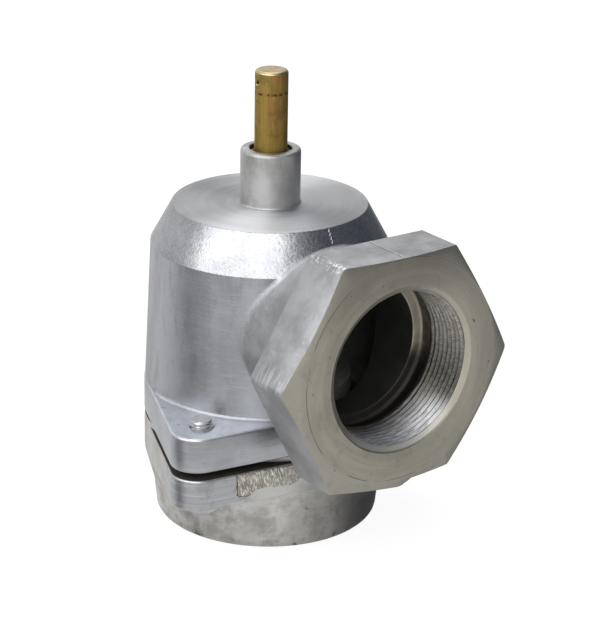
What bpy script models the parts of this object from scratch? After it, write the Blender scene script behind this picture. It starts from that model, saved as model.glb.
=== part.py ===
"""Angle-pattern lift valve body, the piece that an actuator head works on.

Two aluminium castings are bolted together at three ears. The lower one holds the inlet socket and the
seat, the upper one the side outlet and the guide of a brass stem. A spring holds the disc on its seat,
and pulling the stem up lifts the disc.

Metres, +Z up. The stem stands on a vertical axis at x = 0, and the outlet faces -Y. The origin is at
the middle of the bounding box's base.
"""

import math

import bmesh
import bpy

INCH = 0.0254
GAP = 0.0003                        # what touching pieces keep between them
SHARP_ANGLE = math.radians(32)
MERGE = 0.00001
FINE = 56                           # steps of a large turned piece, a medium one and a small one
MEDIUM = 40
SMALL = 28

# Driving dimensions of the castings
BODY_R = 0.0465                     # outer radius of the body at the flange
EAR_CIRCLE_R = 4.75 * INCH / 2      # circle of the ears' rounded ends
EAR_R = 0.009
EAR_ANGLES = (-60.0, 60.0, 180.0)   # from the outlet's direction, seen from above
HEX_FLATS = 3.3 * INCH
HEX_LENGTH = 0.0207
HEX_OFFSET = (-0.0009, -0.0004)     # the cast hexagon sits a little off the machined bore
FACING_R = 0.0411                   # the outlet's flat face; the corners beyond it lean back
CORNER_LEAN = math.radians(17)
PORT_REACH = 0.0807                 # from the stem's axis to the outlet's face
PORT_Z = 0.0820
SOCKET_R = 0.0290                   # mean radius of a 2 inch taper pipe thread
SOCKET_LENGTH = 0.0195
RELIEF_R = 0.0296
SOCKET_DEPTH = 0.0260
PASSAGE_R = 0.0255
NECK_R = 0.0330

# Heights
JOINT_Z = 0.0403                    # underside of the upper casting's flange
UPPER_EAR_TOP = 0.0536
LOWER_EAR_TOP = 0.0376
LOWER_EAR_BOTTOM = 0.0255
SHOULDER_Z = 0.1070
TOP_Z = 0.1214
COLLAR_TOP = 0.1415
STEM_TOP = 0.1713
SEAT_Z = 0.0460                     # top of the seat's lip

# The inside
WALL = 0.0050
CHAMBER_R = BODY_R - WALL
CHAMBER_MOUTH_R = 0.0365
CEILING_Z = 0.1148
CEILING_R = 0.0310
GUIDE_R = 0.0140                    # boss that hangs from the ceiling round the bush
GUIDE_BOTTOM = 0.0950
GUIDE_BORE_R = 0.0088
COLLAR_R = 0.875 * INCH / 2
COLLAR_BORE_R = 0.0078
COLLAR_LIP = 0.0055
SEAT_RECESS_R = 0.0343
SEAT_RECESS_FLOOR = 0.0330
SEAT_BORE_R = 0.0254

# Moving parts
STEM_R = 0.0060
STEM_END_R = 0.0050
STEM_END_Z = 0.0325
LIFT = 0.0140                       # how far the stem travels
DISC_R = 0.0315
DISC_TOP = 0.0560
HUB_TOP = 0.0580
RETAINER_CIRCLE_R = 0.0145
RETAINER_ANGLE = 17.0
RETAINER_SCREW_R = 0.0013
SPRING_WIRE_R = 0.00125
SPRING_R = 0.0164
SPRING_TURNS = 6

# Fasteners
SCREW_CIRCLE_R = 2.2 * INCH
SCREW_R = 5 / 32 * INCH
SCREW_TIP_Z = 0.0562
SCREW_HEAD_FLATS = 0.4375 * INCH
SCREW_HEAD = 0.0040
SCREW_HOLE_R = SCREW_R + GAP

AXIS_Y = (PORT_REACH - EAR_CIRCLE_R - EAR_R) / 2

COLOURS = {
    "cast_aluminium": ((0.62, 0.63, 0.65), 0.42, 1.0),
    "brass": ((0.48, 0.34, 0.11), 0.38, 1.0),
    "bronze": ((0.42, 0.25, 0.12), 0.40, 1.0),
    "plated_steel": ((0.66, 0.67, 0.69), 0.32, 1.0),
    "spring_steel": ((0.45, 0.45, 0.46), 0.35, 1.0),
    "black_rubber": ((0.025, 0.025, 0.027), 0.65, 0.0),
}


def clear_scene():
    for thing in list(bpy.data.objects):
        bpy.data.objects.remove(thing, do_unlink=True)


def new_collection(name):
    made = bpy.data.collections.new(name)
    bpy.context.scene.collection.children.link(made)
    return made


clear_scene()
PARTS = new_collection("angle_lift_valve")
CUTTERS = new_collection("cutters")


def material_for(name, slot):
    """Each sub-part has a material of its own, in its slot's colour."""
    colour, roughness, metallic = COLOURS[slot]
    made = bpy.data.materials.new(name + "_" + slot)
    made.use_nodes = True
    shader = made.node_tree.nodes["Principled BSDF"]
    shader.inputs["Base Color"].default_value = (*colour, 1.0)
    shader.inputs["Roughness"].default_value = roughness
    shader.inputs["Metallic"].default_value = metallic
    made.diffuse_color = (*colour, 1.0)
    return made


# ---------------------------------------------------------------- ways of making a shape

def add_object(name, data, place=(0.0, 0.0, 0.0), turn=(0.0, 0.0, 0.0), where=PARTS):
    made = bpy.data.objects.new(name, data)
    made.location = place
    made.rotation_euler = turn
    where.objects.link(made)
    return made


def turned(name, outline, steps, place=(0.0, AXIS_Y, 0.0), turn=(0.0, 0.0, 0.0), closed=True):
    """A solid turned about its own Z. The outline is (radius, height) points, down the outer side."""
    shape = bmesh.new()
    points = [shape.verts.new((radius, 0.0, height)) for radius, height in outline]
    for here, after in zip(points, points[1:]):
        shape.edges.new((here, after))
    if closed:
        shape.edges.new((points[-1], points[0]))
    mesh = bpy.data.meshes.new(name)
    shape.to_mesh(mesh)
    shape.free()
    made = add_object(name, mesh, place, turn)
    screw = made.modifiers.new("turn", "SCREW")
    screw.axis = "Z"
    screw.steps = steps
    screw.render_steps = steps
    screw.use_merge_vertices = True
    screw.merge_threshold = MERGE
    return made


def rod(name, outline, steps, place=(0.0, AXIS_Y, 0.0), turn=(0.0, 0.0, 0.0)):
    """A turned solid with no hole: its outline starts and ends on the axis."""
    top = outline[0][1]
    bottom = outline[-1][1]
    return turned(name, [(0.0, top), *outline, (0.0, bottom)], steps, place, turn, closed=False)


def rounded(radius, height, size, inward, down, count=4):
    """Points of a quarter round at a corner, from its first side to its second."""
    points = []
    for step in range(count + 1):
        angle = math.pi / 2 * step / count
        along = size * (1 - math.sin(angle))
        across = size * (1 - math.cos(angle))
        points.append((radius + inward * along, height + down * across))
    return points


def ring(name, inner, outer, bottom, top, steps=SMALL, chamfer=0.0002):
    """A plain washer or sleeve with a small chamfer on its outer edges."""
    outline = [
        (outer - chamfer, top),
        (outer, top - chamfer),
        (outer, bottom + chamfer),
        (outer - chamfer, bottom),
        (inner, bottom),
        (inner, top),
    ]
    return turned(name, outline, steps)


def torus_ring(name, radius, tube, height, steps, sides=8):
    outline = []
    for step in range(sides):
        angle = -2 * math.pi * step / sides
        outline.append((radius + tube * math.cos(angle), height + tube * math.sin(angle)))
    return turned(name, outline, steps)


def curve_to_mesh(made):
    """Turns a curve object into a welded mesh object of the same name and place."""
    name = made.name
    bpy.context.view_layer.update()
    graph = bpy.context.evaluated_depsgraph_get()
    mesh = bpy.data.meshes.new_from_object(made.evaluated_get(graph))
    shape = bmesh.new()
    shape.from_mesh(mesh)
    bmesh.ops.remove_doubles(shape, verts=shape.verts, dist=MERGE)
    bmesh.ops.recalc_face_normals(shape, faces=shape.faces)
    shape.to_mesh(mesh)
    shape.free()
    place = made.matrix_world.copy()
    curve = made.data
    bpy.data.objects.remove(made, do_unlink=True)
    bpy.data.curves.remove(curve)
    solid = add_object(name, mesh)
    solid.matrix_world = place
    return solid


def plate(name, outline, thickness, place, turn=(0.0, 0.0, 0.0)):
    """A flat outline, centred on its place and thick along its own Z."""
    curve = bpy.data.curves.new(name, "CURVE")
    curve.dimensions = "2D"
    curve.fill_mode = "BOTH"
    curve.extrude = thickness / 2
    spline = curve.splines.new("POLY")
    spline.points.add(len(outline) - 1)
    for point, (x, y) in zip(spline.points, outline):
        point.co = (x, y, 0.0, 1.0)
    spline.use_cyclic_u = True
    return curve_to_mesh(add_object(name, curve, place, turn))


def cylinder(name, radius, length, steps, place, turn=(0.0, 0.0, 0.0)):
    mesh = bpy.data.meshes.new(name)
    shape = bmesh.new()
    bmesh.ops.create_cone(
        shape, cap_ends=True, segments=steps, radius1=radius, radius2=radius, depth=length)
    shape.to_mesh(mesh)
    shape.free()
    return add_object(name, mesh, place, turn)


def box(name, size, place, turn=(0.0, 0.0, 0.0)):
    mesh = bpy.data.meshes.new(name)
    shape = bmesh.new()
    bmesh.ops.create_cube(shape, size=1.0)
    bmesh.ops.scale(shape, vec=size, verts=shape.verts)
    shape.to_mesh(mesh)
    shape.free()
    return add_object(name, mesh, place, turn)


def combine(target, tool, operation):
    """Joins a tool to a target or cuts it away, and keeps the tool out of sight."""
    step = target.modifiers.new(operation.lower() + "_" + tool.name, "BOOLEAN")
    step.operation = operation
    step.solver = "EXACT"
    step.object = tool
    PARTS.objects.unlink(tool)
    CUTTERS.objects.link(tool)
    tool.hide_render = True
    tool.display_type = "WIRE"


def settle(made, slot):
    """Makes a piece's modifiers real, shades it and gives it its material."""
    bpy.context.view_layer.update()
    graph = bpy.context.evaluated_depsgraph_get()
    mesh = bpy.data.meshes.new_from_object(made.evaluated_get(graph))
    made.modifiers.clear()
    made.data = mesh
    mesh.shade_smooth()
    mesh.set_sharp_from_angle(angle=SHARP_ANGLE)
    mesh.materials.clear()
    mesh.materials.append(material_for(made.name, slot))
    return made


# ---------------------------------------------------------------- the castings

def from_stem(angle, radius, height):
    """A point at an angle from the outlet's direction, seen from above, about the stem's axis."""
    turn = math.radians(angle)
    return (radius * math.sin(turn), AXIS_Y - radius * math.cos(turn), height)


def ear_outline():
    """The body's circle with three ears, each joined to it by straight tangents."""
    spread = math.degrees(math.acos((BODY_R - EAR_R) / EAR_CIRCLE_R))
    points = []
    for ear in EAR_ANGLES:
        centre = math.radians(ear)
        cx = EAR_CIRCLE_R * math.sin(centre)
        cy = -EAR_CIRCLE_R * math.cos(centre)
        for step in range(13):
            angle = math.radians(ear - spread + 2 * spread * step / 12)
            points.append((cx + EAR_R * math.sin(angle), cy - EAR_R * math.cos(angle)))
        for step in range(3):
            angle = math.radians(ear + spread + (120 - 2 * spread) * step / 2)
            points.append((BODY_R * math.sin(angle), -BODY_R * math.cos(angle)))
    return points


def ear_plate(name, bottom, top):
    middle = (bottom + top) / 2
    made = plate(name, ear_outline(), top - bottom, (0.0, AXIS_Y, middle))
    edge = made.modifiers.new("edge", "BEVEL")
    edge.width = 0.0006
    edge.segments = 1
    edge.limit_method = "ANGLE"
    edge.angle_limit = math.radians(60)
    return made


def drill_ears(target, bottom, top):
    for number, angle in enumerate(EAR_ANGLES, 1):
        place = from_stem(angle, SCREW_CIRCLE_R, (bottom + top) / 2)
        hole = cylinder(f"{target.name}_hole_{number}", SCREW_HOLE_R, top - bottom + 0.004, 18, place)
        combine(target, hole, "DIFFERENCE")


def port_piece(name, outline, steps):
    """A piece turned about the outlet's axis. Heights in its outline are distances from the stem."""
    made = rod(name, outline, steps, (0.0, AXIS_Y, PORT_Z), (math.pi / 2, 0.0, 0.0))
    return made


def hexagon():
    """The outlet's hexagon, with the stub of its ingate along the left part of the bottom flat."""
    corner = HEX_FLATS / math.sqrt(3)
    half = HEX_FLATS / 2
    soft = 0.0035
    points = []
    for turn in (0, 60):
        angle = math.radians(turn)
        points.append((corner * math.cos(angle), corner * math.sin(angle)))
    for step in range(5):
        angle = math.radians(90 + 60 * step / 4)
        inset = corner - soft / math.cos(math.radians(30))
        cx = inset * math.cos(math.radians(120))
        cy = inset * math.sin(math.radians(120))
        points.append((cx + soft * math.cos(angle), cy + soft * math.sin(angle)))
    for turn in (180, 240):
        angle = math.radians(turn)
        points.append((corner * math.cos(angle), corner * math.sin(angle)))
    points.append((0.0035, -half - 0.0026))
    points.append((0.0060, -half - 0.0014))
    points.append((corner * 0.5, -half))
    middle = AXIS_Y - PORT_REACH + HEX_LENGTH / 2
    place = (HEX_OFFSET[0], middle, PORT_Z + HEX_OFFSET[1])
    made = plate("hexagon", points, HEX_LENGTH, place, (math.pi / 2, 0.0, 0.0))
    edge = made.modifiers.new("edge", "BEVEL")
    edge.width = 0.0004
    edge.segments = 1
    edge.limit_method = "ANGLE"
    edge.angle_limit = math.radians(30)
    reach = 0.0080
    turn = [
        (FACING_R, PORT_REACH),
        (FACING_R + reach, PORT_REACH - reach * math.tan(CORNER_LEAN)),
        (FACING_R + 2 * reach, PORT_REACH - HEX_LENGTH - 0.001),
    ]
    combine(made, port_piece("hexagon_turn", turn, FINE), "INTERSECT")
    return made


def upper_body():
    outline = [
        *rounded(COLLAR_R, COLLAR_TOP, 0.0008, -1, -1),
        (COLLAR_R, TOP_Z + 0.0008),
        (COLLAR_R + 0.0008, TOP_Z),
        *rounded(0.03575, TOP_Z, 0.0006, -1, -1, 2),
        (0.0441, SHOULDER_Z),
        (0.0446, SHOULDER_Z - 0.0015),
        (BODY_R, UPPER_EAR_TOP),
        (BODY_R, JOINT_Z),
    ]
    made = rod("upper_body", outline, FINE)
    combine(made, ear_plate("upper_ears", JOINT_Z + 0.0001, UPPER_EAR_TOP), "UNION")
    combine(made, hexagon(), "UNION")
    neck = [(NECK_R, PORT_REACH - 0.004), (NECK_R, 0.030)]
    combine(made, port_piece("neck", neck, MEDIUM), "UNION")
    chamber = [
        (GUIDE_R, CEILING_Z),
        (CEILING_R, CEILING_Z),
        (CHAMBER_R, SHOULDER_Z - 0.004),
        (CHAMBER_R, JOINT_Z + 0.008),
        (CHAMBER_MOUTH_R, JOINT_Z + 0.004),
        (CHAMBER_MOUTH_R, JOINT_Z - 0.002),
        (0.0, JOINT_Z - 0.002),
        (0.0, GUIDE_BOTTOM),
        (GUIDE_R, GUIDE_BOTTOM),
    ]
    combine(made, turned("chamber", chamber, FINE), "DIFFERENCE")
    guide = [
        (COLLAR_BORE_R, COLLAR_TOP + 0.002),
        (COLLAR_BORE_R, COLLAR_TOP - COLLAR_LIP),
        (GUIDE_BORE_R, COLLAR_TOP - COLLAR_LIP),
        (GUIDE_BORE_R, GUIDE_BOTTOM + 0.0036),
        (GUIDE_BORE_R + 0.001, GUIDE_BOTTOM + 0.0036),
        (GUIDE_BORE_R + 0.001, GUIDE_BOTTOM + 0.0018),
        (GUIDE_BORE_R, GUIDE_BOTTOM + 0.0018),
        (GUIDE_BORE_R, GUIDE_BOTTOM - 0.002),
    ]
    combine(made, rod("guide_bore", guide, SMALL), "DIFFERENCE")
    socket = [
        (SOCKET_R + 0.0018, PORT_REACH + 0.001),
        (SOCKET_R + 0.0018, PORT_REACH - 0.0001),
        (SOCKET_R, PORT_REACH - 0.0019),
        (SOCKET_R - 0.0004, PORT_REACH - SOCKET_LENGTH),
        (RELIEF_R, PORT_REACH - SOCKET_LENGTH - 0.0005),
        (RELIEF_R, PORT_REACH - SOCKET_DEPTH + 0.0008),
        (RELIEF_R - 0.0011, PORT_REACH - SOCKET_DEPTH),
        (PASSAGE_R, PORT_REACH - SOCKET_DEPTH),
        (PASSAGE_R, 0.030),
    ]
    combine(made, port_piece("outlet_bore", socket, MEDIUM), "DIFFERENCE")
    drill_ears(made, JOINT_Z, UPPER_EAR_TOP)
    return settle(made, "cast_aluminium")


def lower_body():
    land = BODY_R - 0.0007
    floor = SEAT_RECESS_FLOOR
    outline = [
        (land, JOINT_Z - GAP),
        (land, LOWER_EAR_TOP + 0.0001),
        (BODY_R, LOWER_EAR_TOP - 0.0001),
        (BODY_R, 0.0245),
        (0.0424, 0.0130),
        (0.0418, 0.0100),
        *rounded(0.0416, 0.0, 0.0016, -1, 1)[::-1],
        (SOCKET_R + 0.0018, 0.0),
        (SOCKET_R, 0.0018),
        (SOCKET_R - 0.0004, SOCKET_LENGTH),
        (RELIEF_R, SOCKET_LENGTH + 0.0005),
        (RELIEF_R, SOCKET_DEPTH - 0.0006),
        (RELIEF_R - 0.0006, SOCKET_DEPTH),
        (PASSAGE_R, SOCKET_DEPTH),
        (PASSAGE_R, floor),
        (SEAT_RECESS_R, floor),
        (SEAT_RECESS_R, JOINT_Z - GAP),
        (0.0384, JOINT_Z - GAP),
        (0.0384, JOINT_Z - 0.0026),
        (0.0416, JOINT_Z - 0.0026),
        (0.0416, JOINT_Z - GAP),
    ]
    made = turned("lower_body", outline, FINE)
    blank = ear_plate("lower_ears", LOWER_EAR_BOTTOM, LOWER_EAR_TOP)
    core = cylinder("ear_core", SEAT_RECESS_R + 0.004, 0.030, FINE, (0.0, AXIS_Y, 0.032))
    combine(blank, core, "DIFFERENCE")
    combine(made, blank, "UNION")
    drill_ears(made, LOWER_EAR_BOTTOM, LOWER_EAR_TOP)
    return settle(made, "cast_aluminium")


# ---------------------------------------------------------------- the seat and the disc

def seat_ring():
    base = SEAT_RECESS_FLOOR + GAP
    outline = [
        (0.0290, SEAT_Z),
        (0.0296, SEAT_Z - 0.0008),
        (0.0300, 0.0392),
        (SEAT_RECESS_R - GAP, 0.0392),
        (SEAT_RECESS_R - GAP, 0.0374),
        (0.0320, 0.0374),
        (0.0320, 0.0352),
        (SEAT_RECESS_R - GAP, 0.0352),
        (SEAT_RECESS_R - GAP, base),
        (SEAT_BORE_R, base),
        (SEAT_BORE_R, SEAT_Z - 0.0012),
        (SEAT_BORE_R + 0.0012, SEAT_Z),
    ]
    made = turned("seat_ring", outline, MEDIUM)
    for number in range(4):
        angle = 45 + 90 * number
        place = from_stem(angle, SEAT_RECESS_R, 0.0392)
        notch = box(f"spanner_notch_{number}", (0.003, 0.004, 0.002), place, (0, 0, math.radians(angle)))
        combine(made, notch, "DIFFERENCE")
    return settle(made, "brass")


def seals():
    settle(torus_ring("seat_o_ring", 0.03315, 0.00082, 0.0363, MEDIUM), "black_rubber")
    settle(torus_ring("body_o_ring", 0.0400, 0.00112, JOINT_Z - 0.00142, MEDIUM), "black_rubber")
    settle(torus_ring("stem_o_ring_upper", 0.0074, 0.00108, 0.1310, SMALL), "black_rubber")
    settle(torus_ring("stem_o_ring_lower", 0.0074, 0.00108, 0.1248, SMALL), "black_rubber")
    bore = STEM_R + GAP
    outer = GUIDE_BORE_R - GAP
    settle(ring("wiper_ring", bore, outer, 0.1325, COLLAR_TOP - COLLAR_LIP - GAP), "black_rubber")
    settle(ring("spacer_ring", bore, outer, 0.1263, 0.1295), "bronze")
    settle(ring("guide_bush", bore, outer, GUIDE_BOTTOM + 0.0041, 0.1233), "bronze")


def bush_circlip():
    """An open retaining ring in the groove below the bush."""
    low = GUIDE_BOTTOM + 0.0021
    high = GUIDE_BOTTOM + 0.0033
    made = ring("bush_circlip", STEM_R + 0.0013, GUIDE_BORE_R + 0.0007, low, high, SMALL, 0.0001)
    mouth = box("circlip_mouth", (0.0044, 0.008, 0.004), from_stem(0, 0.0085, (low + high) / 2))
    combine(made, mouth, "DIFFERENCE")
    return settle(made, "spring_steel")


def stem():
    """The rod that the actuator holds. Its flange stops the lift, its shoulder carries the disc."""
    stop = GUIDE_BOTTOM + 0.0015 - LIFT
    outline = [
        *rounded(STEM_R, STEM_TOP, 0.0008, -1, -1, 3),
        (STEM_R, stop),
        (0.0085, stop),
        (0.0085, stop - 0.003),
        (STEM_R, stop - 0.003),
        (STEM_R, HUB_TOP + 0.0033),
        (0.0092, HUB_TOP + 0.0033),
        (0.0092, HUB_TOP + GAP),
        (STEM_END_R, HUB_TOP + GAP),
        (STEM_END_R, STEM_END_Z + 0.0006),
        (STEM_END_R - 0.0006, STEM_END_Z),
    ]
    made = rod("stem", outline, SMALL)
    across = (0.0, math.pi / 2, 0.0)
    top_hole = cylinder("pull_pin_hole", 0.0008, 0.020, 12, (0.0, AXIS_Y, STEM_TOP - 0.0042), across)
    combine(made, top_hole, "DIFFERENCE")
    pin_hole = cylinder("roll_pin_hole", 0.0010 + GAP, 0.020, 12, (0.0, AXIS_Y, 0.0348), across)
    combine(made, pin_hole, "DIFFERENCE")
    return settle(made, "brass")


def disc_holder():
    skirt = SEAT_Z + 0.0014
    pocket = 0.0501
    bore = STEM_END_R + GAP
    outline = [
        (0.0115, HUB_TOP),
        (0.0120, HUB_TOP - 0.0005),
        (0.0120, DISC_TOP),
        (DISC_R - 0.0010, DISC_TOP),
        (DISC_R, DISC_TOP - 0.0010),
        (DISC_R, skirt),
        (0.0306, skirt),
        (0.0306, pocket),
        (bore, pocket),
        (bore, HUB_TOP),
    ]
    made = turned("disc_holder", outline, MEDIUM)
    for number in range(3):
        place = from_stem(RETAINER_ANGLE + 120 * number, RETAINER_CIRCLE_R, pocket)
        hole = cylinder(f"holder_hole_{number}", RETAINER_SCREW_R + GAP, 0.008, 12, place)
        combine(made, hole, "DIFFERENCE")
    return settle(made, "brass")


def disc_faces():
    bore = STEM_END_R + GAP
    seal = ring("seal_disc", bore, 0.0303, SEAT_Z + GAP, 0.0498, MEDIUM)
    washer = ring("disc_retainer", bore, 0.0200, 0.0430, SEAT_Z, SMALL, 0.0006)
    for number in range(3):
        place = from_stem(RETAINER_ANGLE + 120 * number, RETAINER_CIRCLE_R, SEAT_Z)
        for target in (seal, washer):
            hole = cylinder(f"{target.name}_hole_{number}", RETAINER_SCREW_R + GAP, 0.012, 12, place)
            combine(target, hole, "DIFFERENCE")
    settle(seal, "black_rubber")
    settle(washer, "brass")
    for number in range(3):
        x, y, _ = from_stem(RETAINER_ANGLE + 120 * number, RETAINER_CIRCLE_R, 0.0)
        outline = [
            (RETAINER_SCREW_R, 0.0530),
            (RETAINER_SCREW_R, 0.0430 - GAP),
            (0.0025, 0.0430 - GAP),
            (0.0025, 0.0415),
            (0.0020, 0.0410),
        ]
        made = rod(f"retainer_screw_{number + 1}", outline, 14, (x, y, 0.0))
        slot = box(f"screw_slot_{number}", (0.006, 0.0007, 0.0014), (x, y, 0.0410))
        combine(made, slot, "DIFFERENCE")
        settle(made, "brass")


def stem_fastening():
    bore = STEM_END_R + GAP
    settle(ring("thrust_washer", bore, 0.0090, 0.0413, 0.0427), "plated_steel")
    nut = cylinder("lock_nut", 0.0080 / math.cos(math.pi / 6), 0.0043, 6, (0.0, AXIS_Y, 0.03885))
    edge = nut.modifiers.new("edge", "BEVEL")
    edge.width = 0.0003
    edge.segments = 1
    hole = cylinder("nut_bore", bore, 0.012, SMALL, (0.0, AXIS_Y, 0.0390))
    combine(nut, hole, "DIFFERENCE")
    settle(nut, "plated_steel")
    across = (0.0, math.pi / 2, 0.0)
    pin = [(0.0008, 0.0066), (0.0010, 0.0064), (0.0010, -0.0064), (0.0008, -0.0066)]
    settle(rod("roll_pin", pin, 12, (0.0, AXIS_Y, 0.0348), across), "spring_steel")


# ---------------------------------------------------------------- spring and fasteners

def return_spring():
    """A compression spring with a closed turn at each end."""
    low = DISC_TOP + GAP + SPRING_WIRE_R
    high = 0.1126 - SPRING_WIRE_R
    closed = 2 * SPRING_WIRE_R + 0.0004
    per_turn = 16
    total = SPRING_TURNS + 2
    curve = bpy.data.curves.new("return_spring", "CURVE")
    curve.dimensions = "3D"
    curve.bevel_depth = SPRING_WIRE_R
    curve.bevel_resolution = 2
    curve.use_fill_caps = True
    spline = curve.splines.new("POLY")
    spline.points.add(total * per_turn)
    for index, point in enumerate(spline.points):
        turns = index / per_turn
        if turns < 1:
            height = low + closed * turns
        elif turns > total - 1:
            height = high - closed * (total - turns)
        else:
            share = (turns - 1) / SPRING_TURNS
            height = low + closed + (high - low - 2 * closed) * share
        angle = 2 * math.pi * turns
        point.co = (SPRING_R * math.cos(angle), SPRING_R * math.sin(angle), height, 1.0)
    return settle(curve_to_mesh(add_object("return_spring", curve, (0.0, AXIS_Y, 0.0))), "spring_steel")


def flange_screws():
    head_top = LOWER_EAR_BOTTOM - GAP
    for number, angle in enumerate(EAR_ANGLES, 1):
        x, y, _ = from_stem(angle, SCREW_CIRCLE_R, 0.0)
        outline = [
            (SCREW_R - 0.0008, SCREW_TIP_Z),
            (SCREW_R, SCREW_TIP_Z - 0.0008),
            (SCREW_R, head_top - 0.001),
        ]
        made = rod(f"flange_screw_{number}", outline, 18, (x, y, 0.0))
        corner = SCREW_HEAD_FLATS / math.sqrt(3)
        place = (x, y, head_top - SCREW_HEAD / 2)
        head = cylinder(f"screw_head_{number}", corner, SCREW_HEAD, 6, place, (0, 0, math.radians(angle)))
        edge = head.modifiers.new("edge", "BEVEL")
        edge.width = 0.0003
        edge.segments = 1
        combine(made, head, "UNION")
        settle(made, "plated_steel")


upper_body()
lower_body()
seat_ring()
seals()
bush_circlip()
stem()
disc_holder()
disc_faces()
stem_fastening()
settle(ring("spring_seat", GUIDE_R + GAP, 0.0200, 0.1129, CEILING_Z - GAP), "plated_steel")
return_spring()
flange_screws()
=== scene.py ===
"""Looks for the angle lift valve: cast and machined aluminium, a dulled brass stem, and what shows inside.

Metres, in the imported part's frame: the stem stands on a vertical axis and the outlet faces -Y.
"""

import math

import bmesh
import bpy
from mathutils import Matrix, Vector, noise


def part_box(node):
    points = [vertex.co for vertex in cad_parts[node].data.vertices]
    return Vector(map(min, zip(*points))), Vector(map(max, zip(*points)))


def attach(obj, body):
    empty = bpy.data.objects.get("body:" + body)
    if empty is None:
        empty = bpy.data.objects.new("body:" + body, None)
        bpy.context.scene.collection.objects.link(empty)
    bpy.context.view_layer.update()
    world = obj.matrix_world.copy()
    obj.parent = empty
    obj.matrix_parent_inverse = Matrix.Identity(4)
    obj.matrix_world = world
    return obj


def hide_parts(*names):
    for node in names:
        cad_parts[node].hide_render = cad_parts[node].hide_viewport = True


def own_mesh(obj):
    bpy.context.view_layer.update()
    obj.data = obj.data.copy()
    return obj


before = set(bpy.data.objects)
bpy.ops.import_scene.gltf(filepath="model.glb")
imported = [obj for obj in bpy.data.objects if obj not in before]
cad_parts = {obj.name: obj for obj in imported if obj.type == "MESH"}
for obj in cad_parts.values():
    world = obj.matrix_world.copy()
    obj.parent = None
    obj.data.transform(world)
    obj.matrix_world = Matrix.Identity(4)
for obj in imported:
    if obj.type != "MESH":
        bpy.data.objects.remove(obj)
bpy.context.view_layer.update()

# ---------------------------------------------------------------- sizes, from the frame where it has them

UPPER_LOW, UPPER_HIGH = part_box("upper_body")
LOWER_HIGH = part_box("lower_body")[1]
STEM_LOW, STEM_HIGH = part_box("stem")
SCREW_LOW, SCREW_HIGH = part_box("flange_screw_3")
SEAT_LOW, SEAT_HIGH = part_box("seat_ring")
HOLDER_LOW, HOLDER_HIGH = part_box("disc_holder")
SPRING_LOW, SPRING_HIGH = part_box("return_spring")

AXIS_Y = (STEM_LOW.y + STEM_HIGH.y) / 2
AXIS = Vector((0.0, AXIS_Y, 0.0))
PORT_REACH = AXIS_Y - UPPER_LOW.y            # stem axis to the outlet's face
PORT_Z = 0.0820
STEM_TOP = STEM_HIGH.z
COLLAR_TOP = UPPER_HIGH.z + 0.0006
JOINT_Z = LOWER_HIGH.z + 0.0003              # underside of the upper casting
EAR_R = 0.0098
EAR_CIRCLE_R = UPPER_HIGH.y - AXIS_Y - EAR_R
EAR_ANGLES = (-60.0, 60.0, 180.0)            # from the outlet's direction, seen from above

BODY_R = 0.0465
WALL_FOOT_R = 0.0462                         # the wall where it meets the ears
SHOULDER_R, SHOULDER_Z = 0.0439, 0.1070      # the wall's upper end, where the cone begins
TOP_R, TOP_Z = 0.0360, 0.1214
COLLAR_R = 0.0111
COLLAR_BORE_R = 0.0078
UPPER_EAR_TOP = 0.0536
LOWER_EAR_TOP = 0.0376
LOWER_EAR_BOTTOM = 0.0255
EAR_EDGE = 0.0009
CHAMBER_R = 0.0415
HEX_FLATS = 0.08382
HEX_LENGTH = 0.0207
HEX_SHIFT = (-0.0009, -0.0004)
FACING_R = 0.0411
CORNER_LEAN = math.radians(17)               # the turned corners beyond the facing lean back
NECK_R = 0.0330
STEM_R = 0.00606
SCREW_R = 0.003969
SCREW_CIRCLE_R = (SCREW_LOW.y + SCREW_HIGH.y) / 2 - AXIS_Y

INCH = 0.0254
SCREW_PITCH = INCH / 18
SCREW_HEAD_FLATS = 0.4375 * INCH
THREAD_PITCH = INCH / 11.5
THREAD_DEPTH = 0.0009
THREAD_MINOR_R = 0.02815
MOUTH_R, MOUTH_DEPTH = 0.0308, 0.0019        # the chamfer at a socket's mouth
SOCKET_LENGTH = 0.0195                       # the mouth to the thread's end
SOCKET_DEPTH = 0.0260                        # the mouth to the shoulder
RELIEF_R = 0.0296
PASSAGE_R = 0.0255

ROUND, FINE_ROUND = 96, 256                  # sides of a small turned piece and of a casting
NEAR = 0.0003                                # a face this near a surface is counted as part of it


# ---------------------------------------------------------------- node trees

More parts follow.
